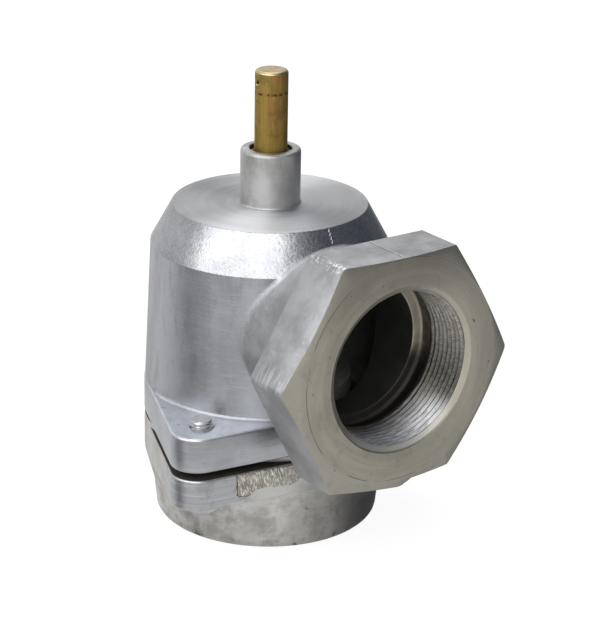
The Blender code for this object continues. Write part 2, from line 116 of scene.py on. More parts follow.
class Tree:
    """A node tree, written as expressions. Sockets, numbers and colours can all be operands."""

    def __init__(self, holder):
        holder.use_nodes = True
        self.holder = holder
        self.nodes = holder.node_tree.nodes
        self.links = holder.node_tree.links

    def give(self, socket, value):
        if isinstance(value, bpy.types.NodeSocket):
            self.links.new(value, socket)
        elif isinstance(value, tuple) and len(value) == 3 and len(socket.default_value) == 4:
            socket.default_value = (*value, 1.0)
        else:
            socket.default_value = value

    def node(self, kind, inputs, output=0, **settings):
        """Adds a node, feeds its inputs by name or number, and returns one of its outputs."""
        made = self.nodes.new("ShaderNode" + kind)
        for name, value in settings.items():
            setattr(made, name, value)
        for name, value in inputs.items():
            self.give(made.inputs[name], value)
        return made.outputs[output]

    def math(self, operation, *values):
        return self.node("Math", dict(enumerate(values)), operation=operation)

    def add(self, a, b):
        return self.math("ADD", a, b)

    def minus(self, a, b):
        return self.math("SUBTRACT", a, b)

    def times(self, a, b):
        return self.math("MULTIPLY", a, b)

    def mix(self, factor, first, second):
        """Mixes two colours."""
        return self.node("Mix", {0: factor, 6: first, 7: second}, 2, data_type="RGBA")

    def blend(self, factor, first, second):
        """Mixes two numbers."""
        return self.node("Mix", {0: factor, 2: first, 3: second})

    def steps(self, value, start, end):
        """From 0 at start to 1 at end, with a soft rise between them. Start may be the greater."""
        return self.node("MapRange", {"Value": value, "From Min": start, "From Max": end},
                         interpolation_type="SMOOTHSTEP")


class Skin(Tree):
    """A material, built up in layers of colour and relief."""

    def __init__(self, name):
        super().__init__(bpy.data.materials.new(name))
        self.shader = self.nodes["Principled BSDF"]
        self.here = self.node("TexCoord", {}, "Object")
        self.colour = self.normal = None

    def places(self):
        """X, Y and Z of the point, in metres."""
        return self.node("SeparateXYZ", {0: self.here}).node.outputs

    def round_stem(self):
        """Radius from the stem's axis, and height. Keeps the way round it as a sine and a cosine."""
        x, y, z = self.places()
        return self.polar(x, self.minus(y, AXIS_Y)), z

    def round_port(self):
        """Radius from the outlet's axis, and Y. Keeps the way round it as a sine and a cosine."""
        x, y, z = self.places()
        return self.polar(x, self.minus(z, PORT_Z)), y

    def polar(self, a, b):
        radius = self.math("SQRT", self.add(self.times(a, a), self.times(b, b)))
        self.sine = self.math("DIVIDE", a, radius)
        self.cosine = self.math("DIVIDE", b, radius)
        return radius

    def noise(self, scale, detail=3.0, rough=0.55, place=None):
        return self.node("TexNoise", {"Vector": place or self.here, "Scale": scale, "Detail": detail,
                                      "Roughness": rough})

    def stretched(self, scales, detail=3.0, rough=0.55):
        """Noise at a scale of its own along each of X, Y and Z."""
        place = self.node("VectorMath", {0: self.here, 1: scales}, operation="MULTIPLY")
        return self.noise(1.0, detail, rough, place)

    def wound(self, along, around_scale, along_scale, detail=3.0, rough=0.55):
        """Noise that closes on itself round an axis, with a scale around it and another along."""
        place = self.node("CombineXYZ", {0: self.times(self.sine, around_scale),
                                         1: self.times(self.cosine, around_scale),
                                         2: self.times(along, along_scale)})
        return self.noise(1.0, detail, rough, place)

    def flecks(self, scale, low, high, detail=2.0):
        """Small scattered marks: 1 inside a mark and 0 elsewhere."""
        return self.steps(self.noise(scale, detail, 0.5), low, high)

    def base(self, pattern, first, second, start=0.3, end=0.7):
        """The colours that the others are painted over, from one to the other as a pattern rises."""
        self.colour = self.mix(self.steps(pattern, start, end), first, second)

    def cover(self, mask, strength, tint):
        """Covers what is there with a tint, where the mask is 1."""
        self.colour = self.mix(self.times(mask, strength), self.colour, tint)

    def paint(self, pattern, start, end, strength, tint):
        """Covers what is there with a tint, none at a pattern's start and all of its strength at its end."""
        self.cover(self.steps(pattern, start, end), strength, tint)

    def carve(self, height, strength, distance):
        """Adds fine relief to what is there."""
        inputs = {"Strength": strength, "Distance": distance, "Height": height}
        if self.normal:
            inputs["Normal"] = self.normal
        self.normal = self.node("Bump", inputs)

    def finish(self, roughness, swing=0.0, pattern=None, metallic=1.0):
        """Wires up the shader. The roughness swings with a pattern, if there is one."""
        if pattern:
            roughness = self.add(roughness, self.times(pattern, swing))
        self.give(self.shader.inputs["Base Color"], self.colour)
        self.give(self.shader.inputs["Roughness"], roughness)
        self.give(self.shader.inputs["Metallic"], metallic)
        if self.normal:
            self.give(self.shader.inputs["Normal"], self.normal)
        return self.holder


def grey(value, warm=0.0):
    """A grey, warmer with a positive second number and cooler with a negative one."""
    return (value * (1 + warm), value, value * (1 - 2.8 * warm))


# ---------------------------------------------------------------- materials

MILLED = (26.0, 26.0, 1700.0)                # a milling cutter's long level lines


def cast_wall():
    """The body's wall: a smooth casting, lightly brushed round, with faint upright bands."""
    t = Skin("cast_wall")
    _, z = t.round_stem()
    brushed = t.wound(z, 4.0, 1100.0, 4.0, 0.62)
    bands = t.wound(z, 2.6, 5.0, 2.0)
    blotch = t.noise(60.0, 5.0, 0.6)
    stain = t.wound(z, 11.0, 75.0, 6.0, 0.65)
    tone = t.add(t.times(bands, 0.6), t.times(blotch, 0.4))
    t.base(tone, grey(0.35, -0.02), grey(0.48, -0.02), 0.38, 0.62)
    t.paint(stain, 0.50, 0.68, 0.45, grey(0.28))
    t.paint(brushed, 0.50, 0.72, 0.30, grey(0.54))
    t.carve(t.noise(45.0), 0.30, 0.0012)
    t.carve(brushed, 0.50, 0.00020)
    t.carve(t.noise(1500.0, 2.0), 0.45, 0.00018)
    return t.finish(0.32, 0.16, blotch)


def cone_skin():
    """The cone: a bright sand-cast skin that sparkles."""
    t = Skin("cone_skin")
    grain = t.noise(950.0, 4.0, 0.62)
    t.base(t.noise(60.0), grey(0.33, -0.02), grey(0.46, -0.02))
    t.paint(grain, 0.50, 0.36, 0.35, grey(0.20, -0.01))
    t.cover(t.flecks(1700.0, 0.60, 0.70), 0.5, grey(0.74))
    t.carve(t.noise(330.0, 3.0, 0.6), 0.38, 0.0003)
    t.carve(grain, 0.50, 0.00018)
    return t.finish(0.19, 0.16, grain)


def turned_top():
    """The flat top, faced on a lathe and handled since. Its shine runs across the lathe's rings."""
    t = Skin("turned_top")
    radius, _ = t.round_stem()
    blotch = t.noise(75.0, 4.0)
    t.base(t.wound(radius, 0.5, 230.0, 2.0), grey(0.49, -0.01), grey(0.57, -0.01))
    t.paint(blotch, 0.50, 0.75, 0.25, grey(0.36))
    t.give(t.shader.inputs["Tangent"], t.node("CombineXYZ", {0: t.sine, 1: t.cosine}))
    t.give(t.shader.inputs["Anisotropic"], 0.85)
    t.carve(t.wound(radius, 0.7, 2400.0), 0.22, 0.00005)
    t.carve(t.noise(900.0), 0.30, 0.00010)
    return t.finish(0.42, 0.12, blotch)


def collar_skin():
    """The collar: turned, then knocked and pitted."""
    t = Skin("collar_skin")
    _, z = t.round_stem()
    rings = t.wound(z, 1.2, 1900.0, 4.0, 0.65)
    blotch = t.wound(z, 1.8, 90.0, 5.0, 0.6)
    marks = t.steps(t.wound(z, 9.0, 700.0, 3.0, 0.5), 0.64, 0.74)
    t.base(blotch, grey(0.38, 0.01), grey(0.52), 0.32, 0.66)
    t.paint(rings, 0.5, 0.8, 0.35, grey(0.60))
    t.cover(marks, 0.35, grey(0.20, 0.01))
    t.carve(rings, 0.5, 0.00012)
    t.carve(t.noise(190.0, 5.0, 0.6), 0.4, 0.0005)
    t.carve(t.noise(1100.0), 0.35, 0.00014)
    return t.finish(0.42, 0.14, blotch)


def ear_side():
    """The ears' sides, milled along and scuffed."""
    t = Skin("ear_side")
    lines = t.stretched(MILLED, 4.0, 0.65)
    scuffs = t.stretched((160.0, 160.0, 900.0), 4.0, 0.65)
    blotch = t.noise(75.0, 4.0)
    t.base(blotch, grey(0.36, -0.015), grey(0.47, -0.02))
    t.paint(lines, 0.50, 0.8, 0.5, grey(0.64))
    t.paint(scuffs, 0.56, 0.68, 0.35, grey(0.24))
    t.carve(lines, 0.40, 0.00014)
    t.carve(scuffs, 0.30, 0.00014)
    t.carve(t.noise(120.0, 2.0), 0.2, 0.0006)
    return t.finish(0.29, 0.14, blotch)


def ear_top():
    """The ears' tops: bright cast skin with small dark flecks."""
    t = Skin("ear_top")
    blotch = t.noise(110.0, 4.0)
    t.base(blotch, grey(0.58, -0.03), grey(0.70, -0.03))
    t.cover(t.flecks(500.0, 0.60, 0.70), 0.4, grey(0.30, -0.02))
    t.carve(t.noise(300.0, 4.0), 0.45, 0.0003)
    t.carve(t.noise(1500.0, 2.0), 0.2, 0.0001)
    return t.finish(0.26, 0.16, blotch)


def hex_face():
    """The outlet's faced end: warm grey, with the tool's rings, a few pits and a scored edge, painted shade
    towards its top, painted light towards its right, and a painted highlight low on the mouth's chamfer.
    """
    t = Skin("hex_face")
    x, _, z = t.places()
    radius, along = t.round_port()
    rings = t.wound(radius, 1.1, 1500.0, 4.0, 0.6)
    wide = t.wound(radius, 0.9, 260.0)
    blotch = t.noise(45.0, 4.0)
    t.base(wide, grey(0.34, 0.055), grey(0.41, 0.055))
    t.paint(blotch, 0.45, 0.75, 0.4, grey(0.28, 0.065))
    t.paint(rings, 0.52, 0.72, 0.40, grey(0.23, 0.065))
    t.paint(t.noise(260.0, 5.0, 0.65), 0.52, 0.70, 0.40, grey(0.21, 0.07))
    t.paint(radius, FACING_R - 0.0001, FACING_R + 0.0002, 0.4, grey(0.38, 0.035))
    score = t.steps(t.math("ABSOLUTE", t.minus(radius, FACING_R)), 0.00024, 0.00008)
    broken = t.steps(t.noise(70.0, 2.0), 0.44, 0.56)
    t.cover(t.times(score, broken), 0.7, grey(0.10, 0.06))
    # painted shade: darker towards the face's top
    t.paint(z, PORT_Z + 0.018, PORT_Z + 0.038, 0.50, grey(0.20, 0.06))
    # painted light: lighter towards the face's right
    t.paint(x, 0.004, 0.034, 0.45, grey(0.56, 0.055))
    t.cover(t.flecks(420.0, 0.73, 0.78), 0.7, grey(0.08, 0.05))
    # painted highlight on the lower part of the mouth's chamfer
    chamfer = t.steps(t.add(along, PORT_REACH - AXIS_Y), 0.0002, 0.0006)
    chamfer = t.times(chamfer, t.steps(radius, FACING_R - 0.004, FACING_R - 0.006))
    t.cover(chamfer, t.steps(t.cosine, -0.55, -0.90), grey(0.74, 0.03))
    t.carve(rings, 0.45, 0.00012)
    t.carve(wide, 0.2, 0.0003)
    t.carve(t.noise(1300.0), 0.25, 0.00010)
    return t.finish(0.42, 0.14, blotch)


def hex_side():
    """The hexagon's flats and the neck: scuffed cast skin, painted shade on the lower flats, one corner worn
    and the next one rubbed.
    """
    t = Skin("hex_side")
    x, _, z = t.places()
    blotch = t.noise(65.0, 5.0, 0.6)
    t.base(blotch, grey(0.29, -0.01), grey(0.46, -0.01))
    t.paint(t.stretched((900.0, 130.0, 300.0)), 0.58, 0.80, 0.45, grey(0.58))
    # painted shade: darker on the flats below the outlet's axis
    t.paint(z, PORT_Z + 0.002, PORT_Z - 0.012, 0.35, grey(0.26))
    rubbed = t.times(t.steps(z, PORT_Z - 0.001, PORT_Z + 0.001), t.steps(z, PORT_Z + 0.010, PORT_Z + 0.004))
    rubbed = t.times(rubbed, t.steps(x, -0.0395, -0.0410))
    strokes = t.steps(t.stretched((110.0, 1700.0, 110.0), 3.0, 0.6), 0.48, 0.60)
    t.cover(t.times(rubbed, strokes), 0.42, grey(0.72))
    worn = t.steps(t.add(z, t.times(x, -0.55)), PORT_Z + 0.0530, PORT_Z + 0.0560)
    worn = t.times(worn, t.flecks(950.0, 0.50, 0.56, 3.0))
    worn = t.times(worn, t.steps(t.noise(150.0, 2.0), 0.42, 0.55))
    t.cover(worn, 0.9, grey(0.90))
    t.carve(t.noise(150.0, 4.0), 0.40, 0.0006)
    t.carve(t.noise(900.0), 0.50, 0.00020)
    return t.finish(0.46, 0.14, blotch)


def lower_skin():
    """The lower casting: milled ear ends, duller elsewhere, darker in patches low down, pitted at its edge,
    with painted shade along its foot and under the outlet.
    """
    t = Skin("lower_skin")
    x, y, z = t.places()
    radius, _ = t.round_stem()
    blotch = t.noise(48.0, 6.0, 0.62)
    stain = t.noise(120.0, 6.0, 0.68)
    t.base(blotch, grey(0.44, 0.015), grey(0.62, 0.01))
    t.paint(stain, 0.46, 0.72, 0.45, grey(0.30, 0.03))
    low = t.steps(z, 0.030, 0.010)
    t.cover(t.times(low, t.steps(stain, 0.42, 0.62)), 0.40, grey(0.22, 0.05))
    # painted shade: the casting is darkened under the outlet, where the hexagon shades it
    forward = t.minus(AXIS_Y, y)
    painted_shade_under_outlet = t.times(t.steps(x, -0.024, 0.012), t.steps(forward, -0.004, 0.024))
    t.cover(painted_shade_under_outlet, 0.90, grey(0.085, 0.035))
    # painted shade: darker along the foot's lower edge; the pits inside this band are real
    foot = t.steps(z, 0.0050, 0.0010)
    t.cover(foot, 0.40, grey(0.20, 0.05))
    pits = t.times(t.flecks(330.0, 0.55, 0.62, 3.0), t.steps(stain, 0.40, 0.50))
    t.cover(t.times(foot, pits), 0.95, grey(0.05, 0.06))
    t.cover(t.flecks(260.0, 0.70, 0.76), 0.6, grey(0.12, 0.03))
    wander = t.times(t.minus(stain, 0.5), 0.012)
    milled = t.steps(t.add(radius, wander), 0.0550, 0.0585)
    milled = t.times(milled, t.steps(t.add(z, wander), LOWER_EAR_BOTTOM, LOWER_EAR_BOTTOM + 0.0012))
    lines = t.stretched(MILLED, 4.0, 0.65)
    silver = t.mix(t.steps(lines, 0.40, 0.75), grey(0.40, -0.015), grey(0.56, -0.01))
    silver = t.mix(t.times(t.steps(stain, 0.50, 0.62), 0.45), silver, grey(0.26))
    t.cover(milled, 1.0, silver)
    t.carve(t.noise(120.0, 4.0), 0.30, 0.0007)
    t.carve(t.noise(1100.0), 0.35, 0.00018)
    return t.finish(t.blend(milled, t.add(0.38, t.times(blotch, 0.16)), 0.33))


def rough_patch():
    """A gate ground off by hand: torn, leaning streaks, and specks at its right end."""
    t = Skin("rough_patch")
    x, y, z = t.places()
    lean = t.add(t.times(t.add(x, t.times(z, 0.25)), 1600.0), t.times(t.noise(210.0, 2.0), 2.2))
    place = t.node("CombineXYZ", {0: lean, 1: t.times(y, 900.0), 2: t.times(z, 330.0)})
    streaks = t.noise(1.0, 4.0, 0.68, place)
    dull = t.steps(t.noise(150.0), 0.35, 0.65)
    t.colour = t.mix(dull, grey(0.30, 0.05), grey(0.42, 0.04))
    t.paint(streaks, 0.50, 0.58, 1.0, grey(0.80, 0.03))
    t.paint(streaks, 0.44, 0.36, 0.5, grey(0.16, 0.06))
    specks = t.mix(t.steps(t.noise(900.0), 0.40, 0.62), grey(0.30, 0.04), grey(0.52, 0.03))
    t.paint(t.add(x, t.times(dull, 0.003)), -0.0245, -0.0175, 1.0, specks)
    t.carve(streaks, 0.6, 0.00035)
    return t.finish(0.42)


def thread_skin(port):
    """A worn thread: one side of its axis painted lit and the other painted in shade, grime and painted shade
    in its grooves, torn crests, and in the outlet a painted highlight on the brushed bottom that fades into
    painted shade deeper in.
    """
    t = Skin("thread_skin" if port else "inlet_thread_skin")
    radius, along = t.round_port() if port else t.round_stem()
    depth = t.add(along, PORT_REACH - AXIS_Y) if port else along
    taper = t.add(radius, t.times(depth, 1 / 32))
    groove = t.steps(taper, THREAD_MINOR_R + 0.0003, THREAD_MINOR_R + 0.0009)
    groove = t.times(groove, t.steps(depth, 0.0008, 0.0020))
    torn = t.wound(along, 42.0, 900.0, 3.0, 0.7)
    brushed = t.wound(along, 7.0, 3200.0, 4.0, 0.6)
    fine = t.noise(1300.0)
    crests = t.steps(torn, 0.36, 0.60)
    # painted light and shade: lit colours on one side of the axis, shaded ones on the other (in the outlet,
    # lit above and shaded below)
    upper = t.mix(crests, grey(0.26, 0.045), grey(0.44, 0.035))
    lower = t.mix(crests, grey(0.075, 0.045), grey(0.14, 0.035))
    t.base(t.cosine, lower, upper, -0.45, 0.45)
    # darker in the grooves: grime with painted shade
    t.cover(groove, 0.35, grey(0.08, 0.05))
    if port:
        # painted highlight across the outlet's bottom, fading into painted shade deeper in
        bright = t.mix(t.steps(brushed, 0.36, 0.62), grey(0.46), grey(0.80, -0.01))
        bright = t.mix(t.times(groove, 0.05), bright, grey(0.40, 0.02))
        bright = t.mix(t.times(t.steps(depth, 0.0060, 0.0170), 0.80), bright, grey(0.10, 0.01))
        t.paint(t.cosine, -0.52, -0.88, 1.0, bright)
    t.carve(t.blend(groove, torn, brushed), 0.22, 0.00014)
    t.carve(fine, 0.2, 0.00008)
    return t.finish(0.42, 0.15, fine)


def stem_brass():
    """Drawn brass rod, dulled brown and olive, with redder stains and a broken scribed line."""
    t = Skin("stem_brass")
    _, z = t.round_stem()
    drawn = t.wound(z, 6.0, 45.0, 4.0, 0.6)
    blotch = t.noise(170.0, 5.0, 0.62)
    red = t.wound(z, 1.3, 60.0, 3.0, 0.6)
    t.base(drawn, (0.27, 0.185, 0.046), (0.38, 0.270, 0.078))
    t.paint(red, 0.50, 0.62, 0.65, (0.30, 0.145, 0.060))
    t.paint(blotch, 0.48, 0.62, 0.55, (0.17, 0.135, 0.045))
    scribed = t.steps(t.math("ABSOLUTE", t.minus(z, STEM_TOP - 0.0082)), 0.0007, 0.0002)
    broken = t.steps(t.wound(z, 3.4, 1.0, 2.0), 0.47, 0.52)
    broken = t.times(broken, t.steps(t.noise(900.0, 2.0), 0.40, 0.52))
    t.cover(t.times(scribed, broken), 0.85, (0.06, 0.030, 0.014))
    spots = t.times(t.flecks(420.0, 0.62, 0.68), t.steps(z, STEM_TOP - 0.0130, STEM_TOP - 0.0080))
    t.cover(spots, 0.7, (0.10, 0.050, 0.022))
    t.carve(drawn, 0.20, 0.00012)
    t.carve(t.noise(1400.0), 0.35, 0.00012)
    return t.finish(0.52, 0.20, blotch)


def turned_metal(name, dark, light, roughness):
    """A small turned piece about the stem's axis."""
    t = Skin(name)
    radius, z = t.round_stem()
    blotch = t.noise(240.0, 4.0)
    t.base(blotch, dark, light)
    t.carve(t.wound(t.add(radius, z), 1.2, 1800.0), 0.3, 0.00006)
    return t.finish(roughness, 0.15, blotch)


def mottled(name, scale, detail, dark, light, gloss, relief, metallic=1.0, band=(0.3, 0.7), painted_shade_below=None):
    """One pattern for colour, relief and gloss, and perhaps painted shade lower down.

    gloss is roughness and its swing, relief is a bump's strength and distance, and painted_shade_below is how
    far the pattern moves the painted shade's edge, the heights where it starts and is full, its strength and
    its colour.
    """
    t = Skin(name)
    blotch = t.noise(scale, detail)
    t.base(blotch, dark, light, *band)
    if painted_shade_below:
        t.paint(t.add(t.places()[2], t.times(blotch, painted_shade_below[0])), *painted_shade_below[1:])
    t.carve(blotch, *relief)
    roughness, swing = gloss
    return t.finish(roughness, swing, blotch if swing else None, metallic)


# What each is: scale, detail, dark, light, gloss, relief, metallic, band and painted_shade_below, as
# mottled() takes them.
MOTTLED = {
    # the groove behind the outlet's thread, with painted shade below its axis
    "relief_skin": (160.0, 4.0, (0.200, 0.172, 0.158), (0.340, 0.300, 0.265), (0.45, 0.1), (0.3, 0.0003), 1.0,
                    (0.35, 0.7), (0.0, PORT_Z + 0.001, PORT_Z - 0.015, 0.85, (0.030, 0.028, 0.026))),
    # the outlet's shoulder, with painted shade below its axis
    "ledge_skin": (220.0, 4.0, grey(0.40, 0.06), grey(0.52, 0.06), (0.55, 0.1), (0.25, 0.0002), 0.5,
                   (0.3, 0.7), (0.006, PORT_Z + 0.004, PORT_Z - 0.008, 0.96, (0.022, 0.020, 0.017))),
    # the passages, black with deposit
    "inner_skin": (90.0, 5.0, (0.020, 0.020, 0.016), (0.034, 0.034, 0.028), (0.70, 0.1), (0.4, 0.0008), 0.2),
    # the gap between the flanges, painted near black as shade
    "painted_gap_shade": (200.0, 4.0, (0.016, 0.014, 0.010), (0.034, 0.030, 0.022), (0.70, 0.1), (0.4, 0.0004), 0.1),
    # the chamber's wall, with a thinner grey deposit
    "chamber_skin": (90.0, 5.0, (0.17, 0.17, 0.15), (0.26, 0.26, 0.23), (0.70, 0.1), (0.4, 0.0008), 0.0),
    # the dark step round the ground gate
    "rough_edge": (600.0, 3.0, grey(0.07, 0.07), grey(0.22, 0.06), (0.6, 0.0), (0.5, 0.0003), 0.6,
                   (0.35, 0.65)),
    # the stem's end and burrs
    "stem_face": (420.0, 4.0, (0.42, 0.33, 0.17), (0.58, 0.48, 0.29), (0.30, 0.1), (0.3, 0.00016)),
    # seals
    "nitrile": (900.0, 3.0, (0.012, 0.012, 0.013), (0.028, 0.028, 0.029), (0.55, 0.2), (0.3, 0.00008), 0.0),
    # the wiper ring, brown with old grease
    "wiper_skin": (500.0, 3.0, (0.10, 0.075, 0.030), (0.24, 0.19, 0.09), (0.5, 0.0), (0.4, 0.0002), 0.3),
    # dull zinc plate
    "plated_steel": (420.0, 4.0, grey(0.50, -0.01), grey(0.62, -0.01), (0.28, 0.16), (0.25, 0.0001)),
}


# ---------------------------------------------------------------- making shapes

def circle(steps):
    """The way round, as a sine and a cosine for each step."""
    turns = [2 * math.pi * step / steps for step in range(steps)]
    return [(math.sin(turn), math.cos(turn)) for turn in turns]


def softened(corners, segments=5):
    """An outline with its corners rounded. Each corner is (radius from the axis, height[, rounding])."""
    points = []
    for index, corner in enumerate(corners):
        here = Vector(corner[:2])
        size = corner[2] if len(corner) > 2 else 0.0
        if not size:
            points.append(tuple(here))
            continue
        before = (Vector(corners[index - 1][:2]) - here).normalized()
        after = (Vector(corners[(index + 1) % len(corners)][:2]) - here).normalized()
        half = before.angle(after) / 2
        middle = here + (before + after).normalized() * size / math.sin(half)
        start = here + before * size / math.tan(half) - middle
        end = here + after * size / math.tan(half) - middle
        swing = start.angle_signed(end)
        for step in range(segments + 1):
            turn = Matrix.Rotation(-swing * step / segments, 2)
            points.append(tuple(middle + turn @ start))
    return points


def linked(name, data):
    made = bpy.data.objects.new(name, data)
    bpy.context.scene.collection.objects.link(made)
    return made


def mesh_object(name, vertices=(), faces=()):
    mesh = bpy.data.meshes.new(name)
    mesh.from_pydata([tuple(v) for v in vertices], [], faces)
    mesh.validate()
    return linked(name, mesh)


def outward(made):
    """Makes a closed mesh's faces point out."""
    shape = bmesh.new()
    shape.from_mesh(made.data)
    bmesh.ops.recalc_face_normals(shape, faces=shape.faces)
    shape.to_mesh(made.data)
    shape.free()
    return made


def tube(rings, ends=True, loop=False):
    """Vertices and faces of a tube through rings of points of equal count. A loop closes on itself."""
    count = len(rings[0])
    vertices = [point for ring in rings for point in ring]
    faces = []
    for level in range(len(rings) if loop else len(rings) - 1):
        base, above = level * count, (level + 1) % len(rings) * count
        for index in range(count):
            after = (index + 1) % count
            faces.append((base + index, base + after, above + after, above + index))
    if ends:
        faces.append(tuple(range(count)))
        faces.append(tuple(range(len(vertices) - count, len(vertices))))
    return vertices, faces


def tube_object(name, rings):
    return outward(mesh_object(name, *tube(rings)))


def close(vertices, faces, first, count, pole):
    """Closes a tube's end with triangles from a ring, whose first vertex is given, to a pole."""
    vertices.append(pole)
    for index in range(count):
        faces.append((first + index, first + (index + 1) % count, len(vertices) - 1))


def lathe(name, outline, steps, port=False, place=AXIS):
    """A closed solid turned about the stem's axis or the outlet's, from (radius, height) points.

    An outline that starts and ends on the axis makes a solid piece, and any other a ring.
    """
    def point(radius, height, sine, cosine):
        if port:
            return (place.x + radius * sine, place.y - height, PORT_Z + radius * cosine)
        return (place.x + radius * sine, place.y - radius * cosine, place.z + height)

    solid = outline[0][0] < 1e-7 and outline[-1][0] < 1e-7
    body = outline[1:-1] if solid else outline
    rings = [[point(radius, height, *way) for way in circle(steps)] for radius, height in body]
    vertices, faces = tube(rings, ends=False, loop=not solid)
    if solid:
        last = len(vertices) - steps
        close(vertices, faces, 0, steps, point(0.0, outline[0][1], 0.0, 1.0))
        close(vertices, faces, last, steps, point(0.0, outline[-1][1], 0.0, 1.0))
    return outward(mesh_object(name, vertices, faces))


def prism(name, outline, low, high, port=False):
    """A flat outline made thick, upright or along the outlet's axis (then low and high are distances)."""
    rings = []
    for height in (low, high):
        if port:
            rings.append([(x, AXIS_Y - height, PORT_Z + z) for x, z in outline])
        else:
            rings.append([(x, AXIS_Y + y, height) for x, y in outline])
    return tube_object(name, rings)


def applied(made):
    """Turns a piece's modifiers into plain mesh."""
    bpy.context.view_layer.update()
    graph = bpy.context.evaluated_depsgraph_get()
    mesh = bpy.data.meshes.new_from_object(made.evaluated_get(graph))
    made.modifiers.clear()
    made.data = mesh
    return made


def bevelled(made, width, segments, angle):
    edge = made.modifiers.new("edge", "BEVEL")
    edge.width = width
    edge.segments = segments
    edge.limit_method = "ANGLE"
    edge.angle_limit = math.radians(angle)
    return applied(made)


def combine(target, tool, operation):
    """Joins, cuts or intersects with a tool, and takes the tool away."""
    step = target.modifiers.new("combine", "BOOLEAN")
    step.operation = operation
    step.solver = "MANIFOLD"
    step.object = tool
    applied(target)
    bpy.data.objects.remove(tool, do_unlink=True)
    return target


def shade(made, materials, choose=lambda centre, normal: 0, sharp=32.0):
    """Smooth shading with sharp edges kept, and a material for each face from choose(centre, normal)."""
    mesh = made.data
    mesh.shade_smooth()
    mesh.set_sharp_from_angle(angle=math.radians(sharp))
    mesh.materials.clear()
    for material in materials:
        mesh.materials.append(material)
    for face in mesh.polygons:
        face.material_index = choose(face.center, face.normal)
    return made


def settle(made, *nodes, body="valve_body", slot="cast_aluminium"):
    """Puts a piece on a body, and hides the nodes it stands for."""
    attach(made, body)
    if nodes:
        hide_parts(*nodes)


def from_stem(angle, radius, height=0.0):
    """A point at an angle from the outlet's direction, seen from above, about the stem's axis."""
    turn = math.radians(angle)
    return Vector((radius * math.sin(turn), AXIS_Y - radius * math.cos(turn), height))


def ear_outline(grow=0.0):
    """The flange's outline: a circle with three ears, joined by straight tangents."""
    big, small = BODY_R + grow, EAR_R + grow
    spread = math.degrees(math.acos((big - small) / EAR_CIRCLE_R))
    ear_steps, wall_steps = 24, 12
    points = []
    for ear in EAR_ANGLES:
        middle = from_stem(ear, EAR_CIRCLE_R)
        for step in range(ear_steps + 1):
            angle = math.radians(ear - spread + 2 * spread * step / ear_steps)
            points.append((middle.x + small * math.sin(angle), middle.y - AXIS_Y - small * math.cos(angle)))
        for step in range(1, wall_steps):
            angle = math.radians(ear + spread + (120 - 2 * spread) * step / wall_steps)
            points.append((big * math.sin(angle), -big * math.cos(angle)))
    return points


def ears(low, high):
    """The flange with its three ears, as a plate."""
    return bevelled(prism("ears", ear_outline(), low, high), EAR_EDGE, 3, 60.0)


def drill_ears(made, hole):
    """Cuts the three screws' holes, which have one outline."""
    for angle in EAR_ANGLES:
        tool = lathe("screw_hole", hole, 40, place=from_stem(angle, SCREW_CIRCLE_R))
        combine(made, tool, "DIFFERENCE")


def threaded_bore(name, port, steps):
    """A cutter for a socket: chamfered mouth, taper thread, relief, shoulder and passage."""
    rows_per_pitch = 9
    crest_flat, flank = 0.12, 0.76           # shares of half a pitch
    tear = 0.00016                           # how far the crests are torn
    face = PORT_REACH if port else 0.0
    ways = circle(steps)
    rings = []

    def ring(depth, radii):
        points = []
        for radius, (sine, cosine) in zip(radii, ways):
            a, b = radius * sine, radius * cosine
            points.append((a, AXIS_Y - face + depth, PORT_Z + b) if port else (a, AXIS_Y - b, depth))
        rings.append(points)

    ring(-0.001, [MOUTH_R] * steps)
    depth = 0.0
    while depth < SOCKET_LENGTH:
        chamfer = MOUTH_R - depth * (MOUTH_R - THREAD_MINOR_R) / MOUTH_DEPTH
        fade = min(1.0, max(0.0, (SOCKET_LENGTH - depth) / (1.5 * THREAD_PITCH)))
        radii = []
        for index, (sine, cosine) in enumerate(ways):
            phase = (depth / THREAD_PITCH - index / steps) % 1.0
            height = 1.0 - abs(2 * phase - 1.0)
            height = min(1.0, max(0.0, (height - crest_flat) / flank))
            torn = noise.noise(Vector((sine * 9, cosine * 9, depth * 900)))
            crest = THREAD_MINOR_R - depth / 32 + tear * torn * (1 - height)
            radii.append(max(chamfer, crest + THREAD_DEPTH * height * fade))
        ring(depth, radii)
        depth += THREAD_PITCH / rows_per_pitch
    relief = SOCKET_LENGTH + 0.0004
    for depth, radius in ((relief, THREAD_MINOR_R - 0.0004), (relief + 0.0004, RELIEF_R - 0.0004),
                          (relief + 0.0008, RELIEF_R), (SOCKET_DEPTH - 0.0016, RELIEF_R),
                          (SOCKET_DEPTH - 0.0006, RELIEF_R - 0.0004), (SOCKET_DEPTH, RELIEF_R - 0.0012),
                          (SOCKET_DEPTH + 0.00001, PASSAGE_R + 0.0004),
                          (SOCKET_DEPTH + 0.0004, PASSAGE_R), (SOCKET_DEPTH + 0.022, PASSAGE_R)):
        ring(depth, [radius] * steps)
    return tube_object(name, rings)


# ---------------------------------------------------------------- the upper casting

def body_radius(z):
    """The outer radius of the upper casting at a height."""
    levels = ((TOP_Z, TOP_R), (SHOULDER_Z, SHOULDER_R), (UPPER_EAR_TOP, WALL_FOOT_R))
    for (high, above), (low, below) in zip(levels, levels[1:]):
        if z >= low:
            return below + (above - below) * (min(z, high) - low) / (high - low)
    return WALL_FOOT_R


